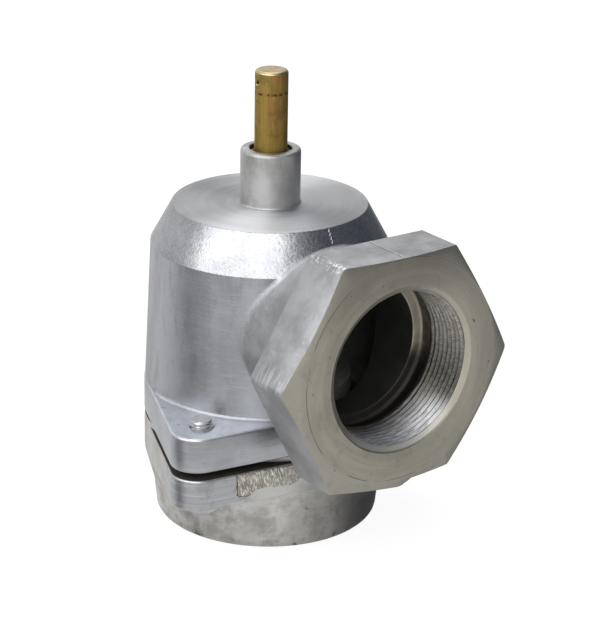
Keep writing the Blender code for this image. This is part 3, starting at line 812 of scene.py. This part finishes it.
def neck():
    """The outlet's neck, flared where it meets the round body."""
    flare, steps, arc = 0.0014, 160, 6
    into_hexagon, into_body = 0.004, 0.0340  # the neck's ends, as an overlap and from the stem's axis
    back = PORT_REACH - HEX_LENGTH
    rings = []

    def ring(radius, distance):
        """distance(x, z) says how far from the stem's axis a point of the ring lies, along the outlet."""
        points = []
        for sine, cosine in circle(steps):
            x, z = radius * sine, PORT_Z + radius * cosine
            points.append((x, AXIS_Y - distance(x, z), z))
        rings.append(points)

    def wall(x, z):
        return math.sqrt(max(body_radius(z) ** 2 - x * x, 1e-8))

    ring(NECK_R, lambda x, z: back + into_hexagon)
    ring(NECK_R + 0.0012, lambda x, z: back + 0.0001)
    ring(NECK_R + 0.0004, lambda x, z: back - 0.0005)
    ring(NECK_R, lambda x, z: back - 0.0014)
    for step in range(arc + 1):
        angle = math.pi / 2 * step / arc
        lift = flare * (1 - math.sin(angle))
        ring(NECK_R + flare * (1 - math.cos(angle)), lambda x, z: wall(x, z) + lift + 0.00005)
    ring(NECK_R + flare - 0.0002, lambda x, z: wall(x, z) - 0.0030)
    vertices, faces = tube(rings, ends=False)
    last = len(vertices) - steps
    close(vertices, faces, 0, steps, (0.0, AXIS_Y - back - into_hexagon, PORT_Z))
    close(vertices, faces, last, steps, (0.0, AXIS_Y - into_body, PORT_Z))
    return outward(mesh_object("neck", vertices, faces))


def hexagon():
    """The outlet's hexagon, a little uneven, as a casting from a shifted mould is.

    A turned chamfer takes its front corners, and the stub of its ingate stands below.
    """
    corner = HEX_FLATS / math.sqrt(3)
    foot = HEX_SHIFT[1] - HEX_FLATS / 2
    # for the corner at each angle: how far it is out of place across and up, and its rounding
    uneven = {0: (0.0016, -0.0020, 0.0024), 60: (0.0003, -0.0004, 0.0008), 120: (-0.0001, 0.0, 0.0036),
              180: (-0.0008, 0.0015, 0.0024), 240: (-0.0033, 0.0009, 0.0008), 300: (0.0008, -0.0004, 0.0008)}
    corners = []
    for turn, (dx, dz, rounding) in uneven.items():
        x = HEX_SHIFT[0] + corner * math.cos(math.radians(turn)) + dx
        z = HEX_SHIFT[1] + corner * math.sin(math.radians(turn)) + dz
        corners.append((x, z, rounding))
    stub = [(-0.0014, foot - 0.0027), (0.0012, foot - 0.0030), (0.0026, foot - 0.0027),
            (0.0036, foot - 0.0021), (0.0048, foot - 0.0016), (0.0062, foot - 0.0006)]
    outline = softened(corners[:5] + stub + corners[5:], segments=6)
    made = prism("hexagon", outline, PORT_REACH - HEX_LENGTH, PORT_REACH, port=True)
    outer_r, behind = 0.060, 0.050           # past the hexagon's corners and its back
    lean = (outer_r - FACING_R) * math.tan(CORNER_LEAN)
    cap = [(0.0, PORT_REACH), (FACING_R, PORT_REACH), (outer_r, PORT_REACH - lean), (outer_r, behind),
           (0.0, behind)]
    combine(made, lathe("facing", cap, 192, port=True), "INTERSECT")
    return bevelled(made, 0.0004, 2, 25.0)


def ear_fillet():
    """A small hollow round between the ears' tops and the body."""
    size, steps = 0.0013, 6
    inner_r, low = WALL_FOOT_R - 0.004, UPPER_EAR_TOP - 0.003
    outline = [(inner_r, UPPER_EAR_TOP + size)]
    for step in range(steps + 1):
        angle = math.pi / 2 * step / steps
        radius = WALL_FOOT_R + size * (1 - math.cos(angle))
        outline.append((radius, UPPER_EAR_TOP + size * (1 - math.sin(angle))))
    outline += [(WALL_FOOT_R + size, low), (inner_r, low)]
    limit = prism("ear_limit", ear_outline(-0.0012), UPPER_EAR_TOP - 0.01, UPPER_EAR_TOP + 0.01)
    return combine(lathe("ear_fillet", outline, 192), limit, "INTERSECT")


def upper_casting():
    low = JOINT_Z + 0.00005
    outline = [
        (0.0, COLLAR_TOP), (COLLAR_R, COLLAR_TOP, 0.0013),
        (COLLAR_R, TOP_Z, 0.0009), (TOP_R, TOP_Z, 0.0005),
        (SHOULDER_R, SHOULDER_Z, 0.0008),
        (WALL_FOOT_R, UPPER_EAR_TOP), (WALL_FOOT_R, low), (0.0, low),
    ]
    made = lathe("upper_casting", softened(outline), FINE_ROUND)
    for piece in (ears(JOINT_Z, UPPER_EAR_TOP), ear_fillet(), neck(), hexagon()):
        combine(made, piece, "UNION")
    roof, dome, spigot_r = 0.1148, 0.0950, 0.0365
    chamber = [
        (0.0, dome), (0.0140, dome), (0.0140, roof, 0.002), (0.0310, roof, 0.003),
        (CHAMBER_R, 0.1030, 0.004), (CHAMBER_R, JOINT_Z + 0.008, 0.002),
        (spigot_r, JOINT_Z + 0.004), (spigot_r, JOINT_Z - 0.002), (0.0, JOINT_Z - 0.002),
    ]
    combine(made, lathe("chamber", softened(chamber), 160), "DIFFERENCE")
    guide_r, guide_low = 0.0088, 0.0930
    mouth, step_z = COLLAR_TOP + 0.002, COLLAR_TOP - 0.0055
    guide = [
        (0.0, mouth), (COLLAR_BORE_R + 0.0023, mouth), (COLLAR_BORE_R, COLLAR_TOP - 0.0003),
        (COLLAR_BORE_R, step_z), (guide_r, step_z), (guide_r, guide_low), (0.0, guide_low),
    ]
    combine(made, lathe("guide", guide, ROUND), "DIFFERENCE")
    combine(made, threaded_bore("outlet_bore", True, 240), "DIFFERENCE")
    wide, narrow, above, below = SCREW_R + 0.0010, SCREW_R + 0.0001, 0.060, 0.038
    drill_ears(made, [(0.0, above), (wide, above), (wide, UPPER_EAR_TOP + 0.00001),
                      (narrow, UPPER_EAR_TOP - 0.0006), (narrow, below), (0.0, below)])

    kinds = [cast_wall(), cone_skin(), turned_top(), collar_skin(), ear_side(), EAR_TOP, hex_face(),
             hex_side(), thread_skin(True), SKINS["relief_skin"], SKINS["ledge_skin"], SKINS["inner_skin"],
             SKINS["chamber_skin"], SKINS["painted_gap_shade"]]
    (wall, cone, top, collar, side, ear, face, flat, thread, relief, ledge, inner,
     chamber_wall, gap) = range(len(kinds))
    socket_start = 0.030                     # from the stem's axis
    inner_r = BODY_R - 0.0025                # between the chamber's wall and the body's
    chamfer_end = MOUTH_DEPTH - 0.0002

    def choose(centre, normal):
        x, y, z = centre.x, centre.y - AXIS_Y, centre.z
        radius, reach = math.hypot(x, y), -y
        depth = PORT_REACH - reach
        about_port = math.hypot(x, z - PORT_Z)
        if normal.y > 0.9 and abs(depth - HEX_LENGTH) < 0.0002:
            return flat
        if reach > socket_start and about_port < MOUTH_R + 0.0004 and radius > socket_start:
            if depth < 0.00002 and normal.y < -0.9:
                return face
            if depth > SOCKET_DEPTH + NEAR:
                return inner
            if depth > SOCKET_DEPTH - 0.0007:
                return ledge
            if depth > SOCKET_LENGTH + NEAR:
                return relief
            inward = x * normal.x + (z - PORT_Z) * normal.z < 0
            return thread if inward and depth > chamfer_end else face
        if depth < HEX_LENGTH + 0.0001:
            return face if normal.y < -0.9 else flat
        if z > TOP_Z + 0.0001:
            return inner if radius < COLLAR_BORE_R + 0.00005 else collar
        inside = x * normal.x + y * normal.y < -1e-6 and radius < inner_r
        deep = radius < min(CHAMBER_R - NEAR, body_radius(z) - 0.003) and z < TOP_Z - 0.003
        if inside or deep:
            return chamber_wall
        if z > TOP_Z - 0.0004 and normal.z > 0.9:
            return top
        if radius < body_radius(z) + NEAR and z > UPPER_EAR_TOP + 0.0002:
            return cone if z > SHOULDER_Z - 0.0001 else wall
        if z > UPPER_EAR_TOP + 0.0015:
            return flat
        # the upper ears' underside inside the flange gap: painted shade
        if normal.z < -0.8 and z < JOINT_Z + NEAR:
            return gap
        return ear if normal.z > 0.5 else side

    settle(shade(made, kinds, choose), "upper_body")


def ridge(name, points, width, material):
    """A thin raised line along points on a surface, a little uneven, as mould flash is."""
    curve = bpy.data.curves.new(name, "CURVE")
    curve.dimensions = "3D"
    curve.bevel_depth = width
    curve.bevel_resolution = 2
    curve.use_fill_caps = True
    spline = curve.splines.new("POLY")
    spline.points.add(len(points) - 1)
    for index, (point, place) in enumerate(zip(spline.points, points)):
        point.co = (*place, 1.0)
        point.radius = 0.8 + 0.5 * noise.noise(Vector((index * 0.7, 3.1, len(points))))
    drawn = linked(name, curve)
    mesh = bpy.data.meshes.new_from_object(drawn.evaluated_get(bpy.context.evaluated_depsgraph_get()))
    bpy.data.objects.remove(drawn, do_unlink=True)
    settle(shade(linked(name, mesh), [material], sharp=60.0))


def parting_lines(material):
    """Flash where the mould's halves met: down the cone above the outlet, and along neck and hexagon."""
    shares = [step / 24 for step in range(25)]

    def level(x, start, end, z):
        return [(x, AXIS_Y - start - (end - start) * share, z) for share in shares]

    cone = []
    cone_end = 0.1165
    for step, share in enumerate(shares):
        z = TOP_Z - 0.0002 - (TOP_Z - cone_end) * share
        cone.append((0.0002 * math.sin(step), AXIS_Y - body_radius(z), z))
    ridge("flash_cone", cone, 0.00022, material)
    ridge("flash_neck", level(0.0, 0.042, 0.0600, PORT_Z + NECK_R), 0.0002, material)
    top = PORT_Z + HEX_SHIFT[1] + HEX_FLATS / 2 - 0.00004
    flat = level(HEX_SHIFT[0] * 0.5, PORT_REACH - HEX_LENGTH + 0.0006, PORT_REACH - 0.0006, top)
    ridge("flash_hexagon", flat, 0.00018, material)


# ---------------------------------------------------------------- the lower casting

def lower_casting():
    land_r = BODY_R - 0.0002
    cup_r = BODY_R - 0.0001
    high = JOINT_Z - 0.0007
    seat_z, seat_bore_r, spigot_r = 0.0330, 0.0240, 0.0343
    groove_z, groove_low_r, groove_high_r = high - 0.0023, 0.0384, 0.0416
    outline = [
        (land_r, high, 0.0004), (land_r, LOWER_EAR_TOP),
        (cup_r, LOWER_EAR_TOP - 0.0004), (cup_r, 0.0250, 0.0020),
        (0.0430, 0.0125, 0.0060), (0.0417, 0.0, 0.0034), (0.0300, 0.0), (0.0260, 0.0010),
        (seat_bore_r, 0.0300), (seat_bore_r, seat_z), (spigot_r, seat_z), (spigot_r, high),
        (groove_low_r, high), (groove_low_r, groove_z), (groove_high_r, groove_z), (groove_high_r, high),
    ]
    made = lathe("lower_casting", softened(outline), FINE_ROUND)
    core_r = 0.0425
    core = lathe("core", [(0.0, 0.05), (core_r, 0.05), (core_r, 0.01), (0.0, 0.01)], 192)
    combine(made, combine(ears(LOWER_EAR_BOTTOM, LOWER_EAR_TOP), core, "DIFFERENCE"), "UNION")
    combine(made, threaded_bore("inlet_bore", False, 200), "DIFFERENCE")
    bore_r = SCREW_R + 0.0002
    drill_ears(made, [(0.0, 0.060), (bore_r, 0.060), (bore_r, 0.010), (0.0, 0.010)])
    thread, passage, gap = 1, 2, 3

    def choose(centre, normal):
        z = centre.z
        radius = math.hypot(centre.x, centre.y - AXIS_Y)
        if radius < MOUTH_R + 0.0005 and 0.00001 < z < SOCKET_LENGTH + NEAR:
            return thread
        if radius < MOUTH_R + 0.0002 and z > 0.0001:
            return passage
        # the land's top and the lower ears' tops inside the flange gap: painted shade
        if z > high - NEAR or z > LOWER_EAR_TOP - 0.0001 and normal.z > 0.8:
            return gap
        return 0

    kinds = [lower_skin(), thread_skin(False), SKINS["inner_skin"], SKINS["painted_gap_shade"]]
    settle(shade(made, kinds, choose), "lower_body")


def wall_point(angle, height):
    """A point of the flange's side at an angle from the outlet's direction, and the way out of it."""
    outline = ear_outline()
    best = None
    turn = math.radians(angle)
    ray = Vector((math.sin(turn), -math.cos(turn)))
    for first, second in zip(outline, outline[1:] + outline[:1]):
        start = Vector(first)
        edge = Vector(second) - start
        across = ray.cross(edge)
        if abs(across) < 1e-12:
            continue
        along, share = start.cross(edge) / across, start.cross(ray) / across
        if along > 0 and -1e-6 <= share <= 1 + 1e-6:
            out = Vector((edge.y, -edge.x, 0.0)).normalized()
            best = (Vector((ray.x * along, AXIS_Y + ray.y * along, height)), out)
    return best


def gate_patch():
    """Where a gate was broken and ground off the lower flange's side: a low torn pad."""
    across, up = 110, 56
    left, right, top = -47.8, -13.5, LOWER_EAR_TOP - 0.0002
    thickness = 0.0012

    def foot(u):
        """The pad's lower edge, with a lobe at the left and a wider one past its middle."""
        lobe = 0.0026 * math.exp(-((u - 0.14) / 0.10) ** 2) + 0.0015 * math.exp(-((u - 0.60) / 0.20) ** 2)
        return 0.0303 - lobe + 0.0007 * noise.noise(Vector((u * 14, 0.0, 2.0)))

    def point(u, v):
        return wall_point(left + (right - left) * u, top + (foot(u) - top) * v)

    def lift(u, v):
        """How far the pad stands out: sunk at its rim, streaked and flecked inside it."""
        streak = noise.noise(Vector((u * 30 + v * 3, v * 4.5, 0.0)))
        fleck = noise.noise(Vector((u * 60, v * 22, 5.0)))
        rag = 0.8 * noise.noise(Vector((u * 9, v * 5, 9.0)))
        start = 0.03 + 0.03 * noise.noise(Vector((1.0, v * 3.4, 4.0)))
        rim = min(1.0, 16 * (u - start), 3.2 * (1 - u) + 0.6 * rag, 9 * v + 0.5, 8 * (1 - v))
        return -0.0003 + rim * (0.00066 + 0.00018 * streak + 0.00012 * fleck)

    vertices = []
    for row in range(up + 1):
        for column in range(across + 1):
            u, v = column / across, row / up
            place, out = point(u, v)
            vertices.append(place + out * lift(u, v))
    for v in (0, 1):
        for column in range(across + 1):
            place, out = point(column / across, v)
            vertices.append(place - out * thickness)
    wide = across + 1
    last, back = up * wide, (up + 1) * wide
    below = back + wide

    def strip(first, second):
        return [(first + i, first + i + 1, second + i + 1, second + i) for i in range(across)]

    faces = [face for row in range(up) for face in strip(row * wide, (row + 1) * wide)]
    for edges in zip(strip(0, back), strip(last, below), strip(back, below)):
        faces += edges
    for end in (0, across):
        faces.append((*(row * wide + end for row in range(up + 1)), below + end, back + end))
    made = mesh_object("gate_patch", vertices, faces)
    shade(made, [rough_patch(), SKINS["rough_edge"]], sharp=60.0)
    for face in made.data.polygons[:up * across]:
        row, column = divmod(face.index, across)
        v, u = row / up, column / across
        face.material_index = int(u < 0.065 or u < 0.32 and v > 0.88)
    settle(outward(made))


# ---------------------------------------------------------------- stem, screws and what shows inside

def stem_piece():
    tail_r, stop = 0.0050, STEM_LOW.z
    flange, flange_r = 0.0825, 0.0085        # the lift stop
    shoulder_r, shoulder_low = 0.0092, HOLDER_HIGH.z + 0.0001
    outline = [
        (0.0, STEM_TOP), (STEM_R, STEM_TOP, 0.0013), (STEM_R, flange), (flange_r, flange, 0.0003),
        (flange_r, flange - 0.003, 0.0003), (STEM_R, flange - 0.003), (STEM_R, shoulder_low + 0.0032),
        (shoulder_r, shoulder_low + 0.0032, 0.0003), (shoulder_r, shoulder_low, 0.0003),
        (tail_r, shoulder_low), (tail_r, stop, 0.0006), (0.0, stop),
    ]
    made = lathe("stem_rod", softened(outline), ROUND)
    along_x = Matrix.Rotation(math.pi / 2, 4, "Y")
    for height, radius in ((STEM_TOP - 0.0042, 0.0008), (0.0348, 0.0011)):
        hole = lathe("hole", [(0.0, 0.02), (radius, 0.02), (radius, -0.02), (0.0, -0.02)], 24,
                     place=Vector((0, 0, 0)))
        hole.data.transform(Matrix.Translation((0.0, AXIS_Y, height)) @ along_x)
        combine(made, outward(hole), "DIFFERENCE")
    shade(made, [stem_brass(), SKINS["stem_face"]], lambda centre, normal: int(centre.z > STEM_TOP - 0.0009))
    settle(made, "stem", body="stem", slot="brass")


def burrs():
    """Bright torn chips beside the cross hole's mouth."""
    chips = ((-97, 0.0052, 0.00055), (-90, 0.0050, 0.0003), (-84, 0.0047, 0.00022))
    for number, (angle, down, size) in enumerate(chips, 1):
        shape = bmesh.new()
        bmesh.ops.create_icosphere(shape, subdivisions=2, radius=size)
        place = from_stem(angle, STEM_R, STEM_TOP - down)
        for vertex in shape.verts:
            wobble = 1 + 0.5 * noise.noise(vertex.co * 2600 + Vector((number, 0, 0)))
            vertex.co = Vector((vertex.co.x * 0.7, vertex.co.y, vertex.co.z * 0.6)) * wobble + place
        made = mesh_object(f"burr_{number}")
        shape.to_mesh(made.data)
        shape.free()
        settle(shade(made, [SKINS["stem_face"]]), body="stem", slot="brass")


def flange_screw(number, angle):
    """A hexagon screw from below, whose threaded tip stands out above the upper ear."""
    depth, steps, rows_per_pitch = 0.00075, 48, 8
    low, tip, foot = 0.0480, SCREW_HIGH.z, SCREW_LOW.z
    tip_r = SCREW_R - 0.0007
    place = from_stem(angle, SCREW_CIRCLE_R)
    ways = circle(steps)
    rings = []

    def ring(height, radii):
        rings.append([(place.x + radius * sine, place.y - radius * cosine, height)
                      for radius, (sine, cosine) in zip(radii, ways)])

    height = low
    while height < tip - 0.00001:
        radii = []
        for index in range(steps):
            phase = ((height - low) / SCREW_PITCH - index / steps) % 1.0
            crest = min(1.0, max(0.0, (1.0 - abs(2 * phase - 1.0)) * 1.5 - 0.2))
            radii.append(min(SCREW_R - depth + depth * crest, tip_r + (tip - height)))
        ring(height, radii)
        height += SCREW_PITCH / rows_per_pitch
    ring(tip, [tip_r] * steps)
    made = tube_object(f"screw_{number}", rings)
    shank_top, shank_foot = low + 0.0005, foot + 0.001
    shank = [(0.0, shank_top), (SCREW_R - 0.0006, shank_top), (SCREW_R, low - 0.0002),
             (SCREW_R, shank_foot), (0.0, shank_foot)]
    combine(made, lathe("shank", shank, steps, place=place), "UNION")
    corner = SCREW_HEAD_FLATS / math.sqrt(3)
    outline = []
    for side in range(6):
        turn = math.radians(angle + 30 + 60 * side)
        outline.append((place.x + corner * math.sin(turn), place.y - AXIS_Y - corner * math.cos(turn)))
    head_top = foot + 0.0040
    head = prism("head", outline, foot, head_top)
    cap = [(0.0, head_top + 0.001), (corner + 0.001, head_top + 0.001), (corner + 0.0002, foot + 0.0009),
           (corner - 0.0012, foot), (0.0, foot)]
    combine(head, lathe("cap", cap, 64, place=place), "INTERSECT")
    combine(made, head, "UNION")
    shade(made, [SKINS["plated_steel"]], sharp=40.0)
    settle(made, f"flange_screw_{number}", slot="plated_steel")


def spring(material):
    """The return spring, with its end turns closed up."""
    wire, sides, per_turn, turns = 0.00125, 12, 48, 8
    middle_r = (SPRING_HIGH.x - SPRING_LOW.x) / 2 - wire
    low, high = SPRING_LOW.z + wire, SPRING_HIGH.z - wire
    closed = 2 * wire + 0.0004               # the rise of an end turn
    up = Vector((0, 0, 1))
    rings = []
    for index in range(turns * per_turn + 1):
        turn = index / per_turn
        if turn < 1:
            height = low + closed * turn
        elif turn > turns - 1:
            height = high - closed * (turns - turn)
        else:
            height = low + closed + (high - low - 2 * closed) * (turn - 1) / (turns - 2)
        angle = 2 * math.pi * turn
        out = Vector((math.cos(angle), math.sin(angle), 0.0))
        centre = Vector((0.0, AXIS_Y, height)) + out * middle_r
        rings.append([centre + wire * (out * cosine + up * sine) for sine, cosine in circle(sides)])
    made = tube_object("lift_spring", rings)
    settle(shade(made, [material], sharp=50.0), "return_spring", slot="spring_steel")
    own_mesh(made)


def inner_pieces(brass, steel):
    """Seat, disc, seals and nut, as seen through the two sockets and the collar's mouth."""
    rubber = SKINS["nitrile"]
    seat_low, seat_top = SEAT_LOW.z, SEAT_HIGH.z
    skirt, hub_top, plate_top = HOLDER_LOW.z, HOLDER_HIGH.z, 0.0560
    seal_low, seal_top = (corner.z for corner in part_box("seal_disc"))
    washer_low, washer_top = (corner.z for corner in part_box("disc_retainer"))
    lip_low, lip_top = COLLAR_TOP - 0.0054, COLLAR_TOP - 0.0016
    bore_r = 0.0053                          # of what sits on the stem's tail
    turned = (
        ("seat", "seat_ring", "valve_body", "brass", brass, [
            (0.0290, seat_top, 0.0003), (0.0296, seat_top - 0.0008), (0.0300, 0.0392, 0.0005),
            (0.0340, 0.0392, 0.0004), (0.0340, seat_low), (0.0254, seat_low, 0.0003),
            (0.0254, seat_top - 0.0012, 0.0003), (0.0266, seat_top, 0.0003)]),
        # the brass holder wears the chamber's grey material, darker than brass: painted shade inside the
        # chamber
        ("holder", "disc_holder", "disc", "brass", SKINS["chamber_skin"], [
            (0.0120, hub_top, 0.0005), (0.0120, plate_top, 0.0008), (0.0315, plate_top, 0.0010),
            (0.0315, skirt, 0.0004), (0.0306, skirt, 0.0002), (0.0306, 0.0501), (bore_r, 0.0501),
            (bore_r, hub_top, 0.0003)]),
        ("seal", "seal_disc", "disc", "black_rubber", rubber, [
            (0.0303, seal_top), (0.0303, seal_low, 0.0004), (bore_r, seal_low), (bore_r, seal_top)]),
        ("retainer", "disc_retainer", "disc", "brass", brass, [
            (0.0200, washer_top), (0.0200, washer_low, 0.0008), (bore_r, washer_low, 0.0003),
            (bore_r, washer_top)]),
        ("wiper", "wiper_ring", "valve_body", "black_rubber", SKINS["wiper_skin"], [
            (0.0077, lip_top, 0.0003), (0.0077, lip_low), (0.0064, lip_low), (0.0064, lip_top, 0.0003)]),
    )
    for name, node, body, slot, material, outline in turned:
        steps = ROUND if name in ("retainer", "wiper") else 128
        settle(shade(lathe(name, softened(outline), steps), [material]), node, body=body, slot=slot)
    kept = {
        brass: ("retainer_screw_1", "retainer_screw_2", "retainer_screw_3", "guide_bush", "spacer_ring"),
        steel: ("lock_nut", "thrust_washer", "roll_pin", "spring_seat", "bush_circlip"),
        rubber: ("body_o_ring", "seat_o_ring", "stem_o_ring_lower", "stem_o_ring_upper"),
    }
    for material, nodes in kept.items():
        for node in nodes:
            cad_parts[node].data.materials[0] = material


# ---------------------------------------------------------------- camera, light and floor

def aim(azimuth, elevation, roll=0.0):
    """A camera's right, up and back directions. Azimuth 0 looks along +Y."""
    a, e, s = (math.radians(v) for v in (azimuth, elevation, roll))
    back = Vector((math.sin(a) * math.cos(e), -math.cos(a) * math.cos(e), math.sin(e)))
    side = Vector((math.cos(a), math.sin(a), 0.0))
    up = back.cross(side)
    right = side * math.cos(s) + up * math.sin(s)
    return right, back.cross(right), back


def pose_at(thing, target, distance, azimuth, elevation, roll=0.0):
    """Puts a camera or light at a distance from its target, turned to face it."""
    axes = aim(azimuth, elevation, roll)
    turn = Matrix(axes).transposed().to_4x4()
    thing.matrix_world = Matrix.Translation(target + axes[2] * distance) @ turn


def camera():
    data = bpy.data.cameras.new("camera")
    data.lens = 130.85
    data.sensor_width = 36.0
    data.clip_end = 50.0
    made = linked("camera", data)
    azimuth, elevation, roll, distance = -36.2, 21.06, 1.08, 0.8701
    aside, height = 0.0118, 0.0749
    target = AXIS + aim(azimuth, elevation)[0] * aside + Vector((0.0, 0.0, height))
    pose_at(made, target, distance, azimuth, elevation, roll)
    bpy.context.scene.camera = made


def soft_light(name, azimuth, elevation, distance, width, height, power):
    data = bpy.data.lights.new(name, "AREA")
    data.shape = "RECTANGLE"
    data.size = width
    data.size_y = height
    data.energy = power
    pose_at(linked(name, data), Vector((0.0, 0.0, 0.08)), distance, azimuth, elevation)


def surroundings():
    """A light room, dark to the right, with a slightly darker stretch at the left."""
    world = bpy.data.worlds.new("room")
    bpy.context.scene.world = world
    t = Tree(world)
    direction = t.node("TexCoord", {}, "Generated")
    dark = (0.080, 0.090, 0.110)

    def lobe(azimuth, elevation, inner, outer):
        """1 within some degrees of a direction, and 0 further out."""
        toward = tuple(aim(azimuth, elevation)[2])
        product = t.node("VectorMath", {0: direction, 1: toward}, "Value", operation="DOT_PRODUCT")
        return t.steps(t.math("ARCCOSINE", product), math.radians(outer), math.radians(inner))

    colour = t.mix(t.times(lobe(-113.0, -20.0, 9.0, 30.0), 0.90), grey(0.82), grey(0.10))
    colour = t.mix(t.times(lobe(62.0, 32.0, 28.0, 66.0), 0.96), colour, dark)
    colour = t.mix(t.times(lobe(100.0, -18.0, 20.0, 54.0), 0.93), colour, dark)
    t.give(t.nodes["Background"].inputs["Color"], colour)


def floor():
    """A plain white floor. Metal reflects the room instead of it, and its shadow stays on it."""
    made = mesh_object("floor", [(-6, -6, 0), (6, -6, 0), (6, 6, 0), (-6, 6, 0)], [(0, 1, 2, 3)])
    made.location.z = -0.0001
    t = Skin("floor_white")
    t.colour = grey(0.12)
    t.give(t.shader.inputs["Emission Color"], grey(1.0))
    t.give(t.shader.inputs["Emission Strength"], 0.92)
    made.data.materials.append(t.finish(0.9, metallic=0.0))
    made.visible_glossy = False
    made.visible_shadow = False


# ---------------------------------------------------------------- the whole

camera()
surroundings()
floor()
soft_light("key", -68.0, 39.0, 1.1, 1.85, 0.80, 9.4)
soft_light("overhead", 150.0, 68.0, 1.3, 0.9, 0.9, 4.5)

BRASS_TRIM = turned_metal("brass_trim", (0.070, 0.050, 0.022), (0.14, 0.10, 0.045), 0.50)
STEEL_TRIM = turned_metal("steel_trim", grey(0.12), grey(0.20), 0.42)
EAR_TOP = ear_top()
SKINS = {name: mottled(name, *facts) for name, facts in MOTTLED.items()}

upper_casting()
parting_lines(EAR_TOP)
lower_casting()
gate_patch()
stem_piece()
burrs()
for index, screw_angle in enumerate(EAR_ANGLES, 1):
    flange_screw(index, screw_angle)
spring(STEEL_TRIM)
inner_pieces(BRASS_TRIM, STEEL_TRIM)
bpy.context.scene.view_settings.view_transform = "Standard"
